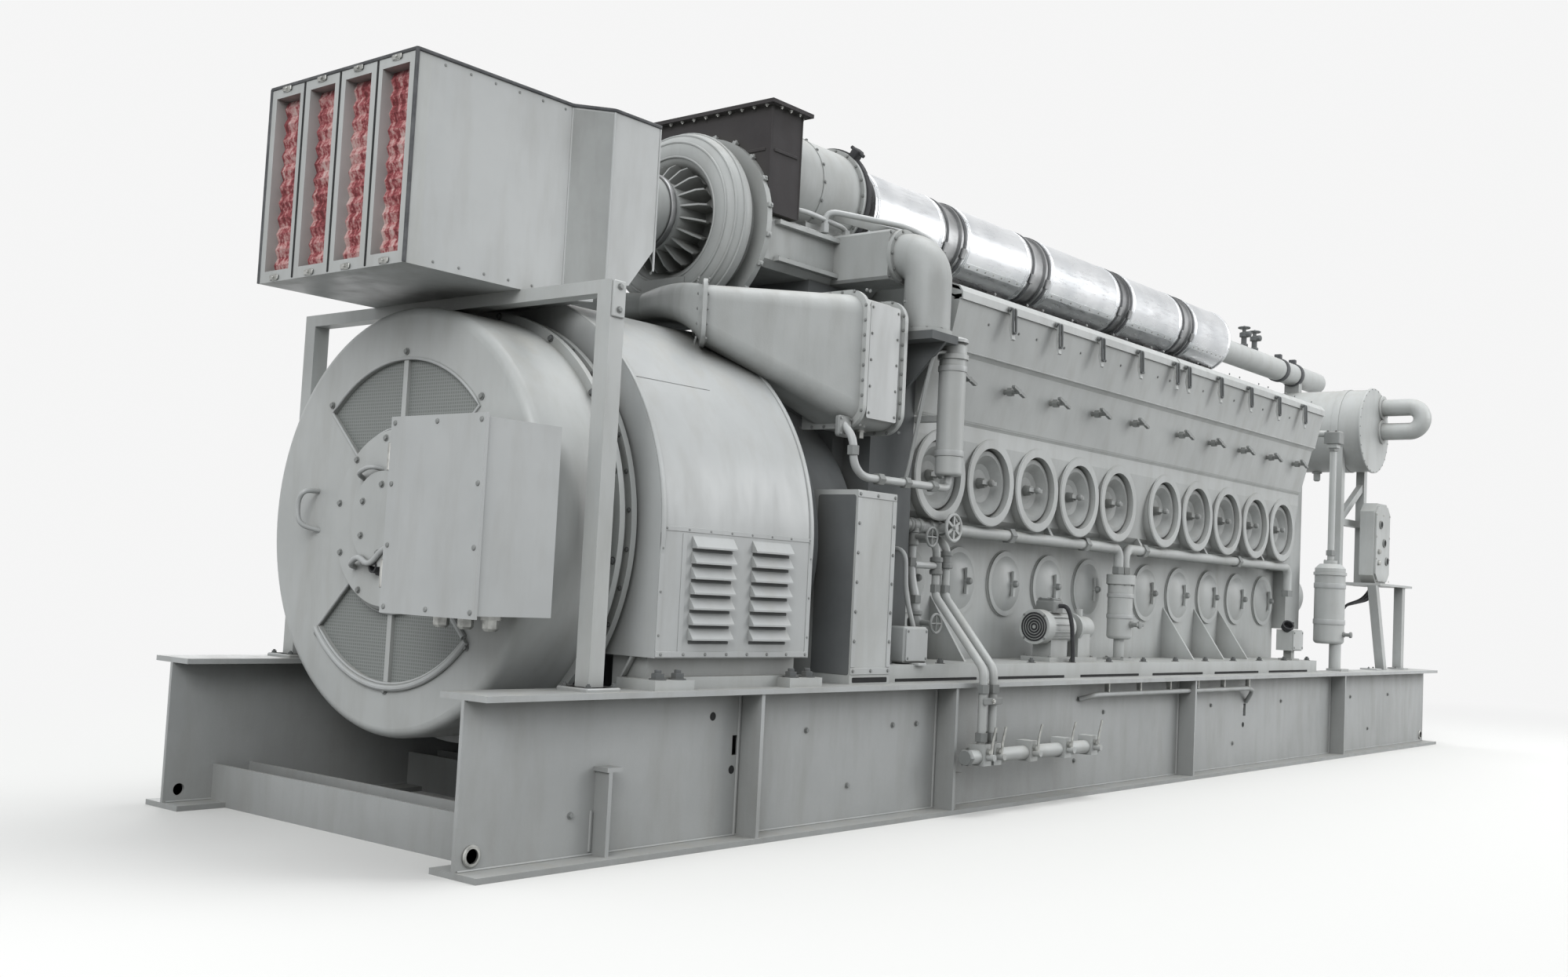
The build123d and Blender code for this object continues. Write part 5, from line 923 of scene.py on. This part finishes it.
def drain_fittings():
    """Unions and levers of the side drains and their manifold, and the strap across the two pipes."""
    places = spots((-1.880, -1.800), DRAIN_Y, (0.320, 0.520))
    cap = turned([(0.036, 0), (0.036, 0.016), (0.030, 0.022)], 12, hexed=(0, 1))
    fit("drain_unions", GREY_BOLT, placed(hex_bar(0.029, 0.018), places, UP),
        placed(cap, [(-1.980, DRAIN_Y, 0.240), (-0.890, DRAIN_Y, 0.240)], [FRONT, BACK]))
    lever = merged([turned([(0.016, 0), (0.016, 0.014), (0.010, 0.018)], 12, hexed=(0, 1)),
                    carried(slab_outline(0.016, 0.005, 0.0015),
                            [(0, -0.012, 0.016), (0, 0.040, 0.020), (0, 0.105, 0.034)], up=UP)])
    taps = spots((-1.880, -1.800, -1.500, -1.200, -0.950), -1.012, 0.262)
    fit("drain_levers", PLATED, placed(lever, taps, NEAR))
    fit("drain_straps", GREY_BOLT, placed(plate(0.150, 0.028, 0.005, 0.008), (-1.840, -0.9985, 0.470), NEAR))
    fit("drain_strap_bolts", PLATED, placed(HEX, (-1.840, -1.0035, 0.470), NEAR, 0.011))


# Tank end

def tank_fittings():
    """Straps, rim bolts, collars and drains of the tank, the panel's gauges, screws and cables,
    and the shoes of the stand."""
    fit("tank_straps", GREY,
        rings(slab_outline(0.006, 0.050, 0.002), 0.3025, spots(TANK_X, (-0.43, 0.43), TANK_Z), (0, 1, 0)))
    bend_x, bend_zs = 4.090, (2.272, 2.448)
    fit("tank_bolts", GREY_BOLT,
        sided(PAN_HEAD, circle((TANK_X, 0.614, TANK_Z), 0.302, 28, normal="y"), 0.0055),
        *[placed(HEX, circle((bend_x, -0.616, z), 0.076, 8, 0.3, normal="y"), NEAR, 0.0090) for z in bend_zs])
    ring = turned([(0.090, 0), (0.090, 0.010), (0.086, 0.014), (0.064, 0.014), (0.0625, 0.010),
                   (0.0625, 0)], 32)
    drain = turned([(0.036, 0), (0.036, 0.012), (0.026, 0.012), (0.026, 0.060), (0.016, 0.070)], 12,
                   hexed=(2, 3))
    fit("tank_collars", GREY, placed(ring, spots(bend_x, -0.613, bend_zs), NEAR),
        placed(drain, spots(TANK_X, (-0.2, 0.2), 1.964), DOWN))
    gauges = np.array([(3.930, PANEL_Y, 1.576), (4.010, PANEL_Y, 1.446), (4.070, PANEL_Y, 1.316)])
    bezel = turned([(0.031, 0), (0.031, 0.006), (0.027, 0.010), (0.0235, 0.010), (0.0230, 0.004)], 28)
    fit("gauge_bezels", GREY_BOLT, placed(bezel, gauges, NEAR))
    glass = turned([(0.0225, 0), (0.0225, 0.003), (0.015, 0.0045)], 24)
    fit("gauge_faces", SHADOW, placed(glass, gauges + (0, -0.004, 0), NEAR))
    screws = at("y", frame_row((3.84, 1.156), (4.14, 1.66), 0.014, 0.17), PANEL_Y)
    knob = turned([(0.018, 0), (0.018, 0.012), (0.012, 0.018), (0.004, 0.019)], 16)
    fit("panel_screws", PLATED, placed(PAN_HEAD, screws, NEAR, 0.007),
        placed(knob, [(3.90, PANEL_Y, 1.30), (3.90, PANEL_Y, 1.38)], NEAR))
    fit("panel_cables", RUBBER, *[
        pipe([(x, -0.610, 1.15), (x, -0.610, 1.100), (x - 0.02, -0.56, 1.03), (3.72, -0.50, 0.98),
              (3.70, -0.452, 0.80), (3.70, -0.452, 0.56)], 0.0095, 0.06) for x in (3.92, 3.99, 4.06)])
    feet = both([(3.585, 0.745, BEAM_TOP), (4.160, 0.745, BEAM_TOP)])
    fit("stand_shoes", GREY_SKID, placed(plate(0.120, 0.110, 0.010, 0.010), feet, UP))
    nuts = np.concatenate([feet + (a, 0, 0.010) for a in (-0.045, 0.045)])
    fit("stand_shoe_bolts", GREY_BOLT, placed(NUT_AND_STUD, nuts, UP, 0.010))


# Skid

def skid_fittings():
    """Weld beads of stiffeners, lugs and flanges, bolt ends, hole rims and small holes on the web,
    and the conduit clipped under the near top flange."""
    stiffeners = np.add.outer((-3.250, -1.995, 0.330, 2.585), (-0.010, 0.010)).ravel()
    fit("skid_welds", GREY_SKID, *beads(0.006, spots(stiffeners, 0.826, 0.022), (0, 0, 0.496)),
        *beads(0.005, spots(-4.49, (0.8265, 0.8095), (0.0205, 0.5195)), (8.98, 0, 0)),
        *beads(0.005, spots((-3.962, -1.947), 0.826, 0.03), (0, 0, 0.13)))
    places = spots((-2.871, -2.312, -2.145, -0.52, 0.74, 1.75, 2.95, 3.70), 0.8255, 0.372)
    places += spots((-4.05, -2.60, -0.80, 1.05, 3.30), 0.8255, 0.150)
    fit("skid_bolt_ends", GREY_BOLT, sided(HEX, places, 0.0120))
    ring = turned([(0.034, 0), (0.034, 0.004), (0.030, 0.007), (0.0225, 0.007), (0.0222, 0)], 28)
    fit("tie_hole_rims", PLATED, sided(ring, spots((-4.440, 4.440), WEB_OUT, 0.063)))
    fit("skid_conduit", GREY_SKID, pipe([
        (-0.780, -0.830, 0.440), (-0.740, -0.880, 0.460), (-0.700, -0.885, 0.465), (1.120, -0.885, 0.465),
        (1.190, -0.880, 0.450), (1.215, -0.830, 0.380)], 0.0125, 0.05))
    clips = spots(np.arange(-0.60, 1.15, 0.34), -0.885, 0.4755)
    fit("conduit_hangers", PLATED, placed(plate(0.026, 0.010, 0.046, 0.003), clips, UP))
    holes = [(x, WEB_OUT + 0.0002, z) for x, z in ((-3.288, 0.250), (1.192, 0.250), (-3.40, 0.44))]
    fit("web_holes", SHADOW, sided(plate(0.030, 0.030, 0.001, 0.0149), holes))


end_bell_fittings()
terminal_box_fittings()
stator_cover_fittings()
footing_bolts()
guard_fittings()
filter_box_fittings()
turbo_fittings()
exhaust_fittings()
lagging_fittings()
vent_fittings()
charge_air_fittings()
side_lines()
deck_fittings()
crankcase_fittings()
end_case_fittings()
pump_and_filter_fittings()
rear_valve_cluster()
drain_fittings()
tank_fittings()
skid_fittings()


# Floor, light and camera

def seen_plainly(tree):
    """1 where the camera or a reflection looks at the surface, 0 where it only gives light."""
    path = add(tree, "ShaderNodeLightPath")
    return add(tree, "ShaderNodeMath", [(0, path, "Is Camera Ray"), (1, path, "Is Glossy Ray")],
               operation="MAXIMUM")


def flat_floor():
    """Plain pale floor under the skid. It bounces less light than the camera sees on it, and
    turns into the white surround far from the object."""
    size = 60.0
    mesh = bpy.data.meshes.new("floor")
    mesh.from_pydata([(-size, -size, 0), (size, -size, 0), (size, size, 0), (-size, size, 0)], [],
                     [(0, 1, 2, 3)])
    material, tree, here = blank_finish("pale_floor")
    seen = seen_plainly(tree)
    tone = add(tree, "ShaderNodeMix", [(0, seen, "Value")], data_type="RGBA", in_6=colour("#5C5C5A"),
               in_7=colour("#E2E2E0"))
    shader = add(tree, "ShaderNodeBsdfPrincipled", [("Base Color", tone, 2)], in_Roughness=0.9)
    oval = add(tree, "ShaderNodeMapping", here, in_Scale=(0.55, 1, 1))
    reach = add(tree, "ShaderNodeVectorMath", [(0, oval, "Vector")], operation="LENGTH")
    far_off = add(tree, "ShaderNodeMapRange", [("Value", reach, "Value")], interpolation_type="SMOOTHSTEP",
                  in_From_Min=2.2, in_From_Max=6.6)
    white = add(tree, "ShaderNodeMath", [(0, far_off, "Result"), (1, seen, "Value")], operation="MULTIPLY")
    glow = add(tree, "ShaderNodeEmission", in_Color=colour("#FAFAFA"), in_Strength=0.96)
    blend = add(tree, "ShaderNodeMixShader", [("Fac", white, "Value"), (1, shader, "BSDF"),
                                              (2, glow, "Emission")])
    add(tree, "ShaderNodeOutputMaterial", [("Surface", blend, "Shader")])
    mesh.materials.append(material)
    floor = linked("floor", mesh)


def stand_at(thing, x, y, z, place):
    """Puts a lamp or camera at a place, with its three axes along the given vectors."""
    thing.matrix_world = Matrix([[x[i], y[i], z[i], place[i]] for i in range(3)] + [[0, 0, 0, 1]])


def soft_light(name, place, target, width, watts):
    """A large square lamp aimed at a point."""
    lamp = bpy.data.lights.new(name, "AREA")
    lamp.shape = "SQUARE"
    lamp.size = width
    lamp.energy = watts
    z = unit(np.subtract(place, target))
    x = unit(np.cross(UP, z))
    stand_at(linked(name, lamp), x, np.cross(z, x), z, place)


def studio():
    """Pale surround like an overcast sky, a broad key from the near left, a soft fill from the
    right, and a lamp behind and one above."""
    world = bpy.data.worlds.new("pale_surround")
    bpy.context.scene.world = world
    world.use_nodes = True
    tree = world.node_tree
    tree.nodes.clear()
    lit = add(tree, "ShaderNodeBackground", in_Strength=0.78, in_Color=colour("#F1F3F5"))
    plain = add(tree, "ShaderNodeBackground", in_Strength=0.96, in_Color=colour("#FAFAFA"))
    mix = add(tree, "ShaderNodeMixShader", [("Fac", seen_plainly(tree), "Value"), (1, lit, "Background"),
                                            (2, plain, "Background")])
    add(tree, "ShaderNodeOutputWorld", [("Surface", mix, "Shader")])
    soft_light("key_panel", (-12.5, -5.0, 7.0), (-1.5, 0, 1.2), 6.0, 600)
    soft_light("fill_panel", (6.0, -8.0, 4.5), (2.5, 0, 1.5), 5.0, 340)
    soft_light("back_panel", (3.0, 11.0, 7.0), (0.0, 0, 1.5), 6.0, 330)
    soft_light("top_panel", (0.5, -1.5, 12.0), (0, 0, 1.5), 6.0, 620)


def photo_camera():
    """Camera at the photograph's place: yaw, pitch and a slight roll, worked out from the skid."""
    yaw, pitch, roll = 0.8831, 0.0652, 0.0502
    place = (-7.4634, -4.4314, 0.8915)
    ahead = np.array([math.sin(yaw) * math.cos(pitch), math.cos(yaw) * math.cos(pitch), math.sin(pitch)])
    right = np.array([math.cos(yaw), -math.sin(yaw), 0.0])
    over = np.cross(right, ahead)
    lens = bpy.data.cameras.new("photo_camera")
    lens.sensor_width = 36.0
    lens.lens = 36.0 * 1973.5 / 1999
    lens.clip_end = 200
    camera = linked("photo_camera", lens)
    stand_at(camera, math.cos(roll) * right + math.sin(roll) * over,
             math.cos(roll) * over - math.sin(roll) * right, -ahead, place)
    bpy.context.scene.camera = camera


flat_floor()
studio()
photo_camera()
bpy.context.scene.view_settings.view_transform = "Standard"
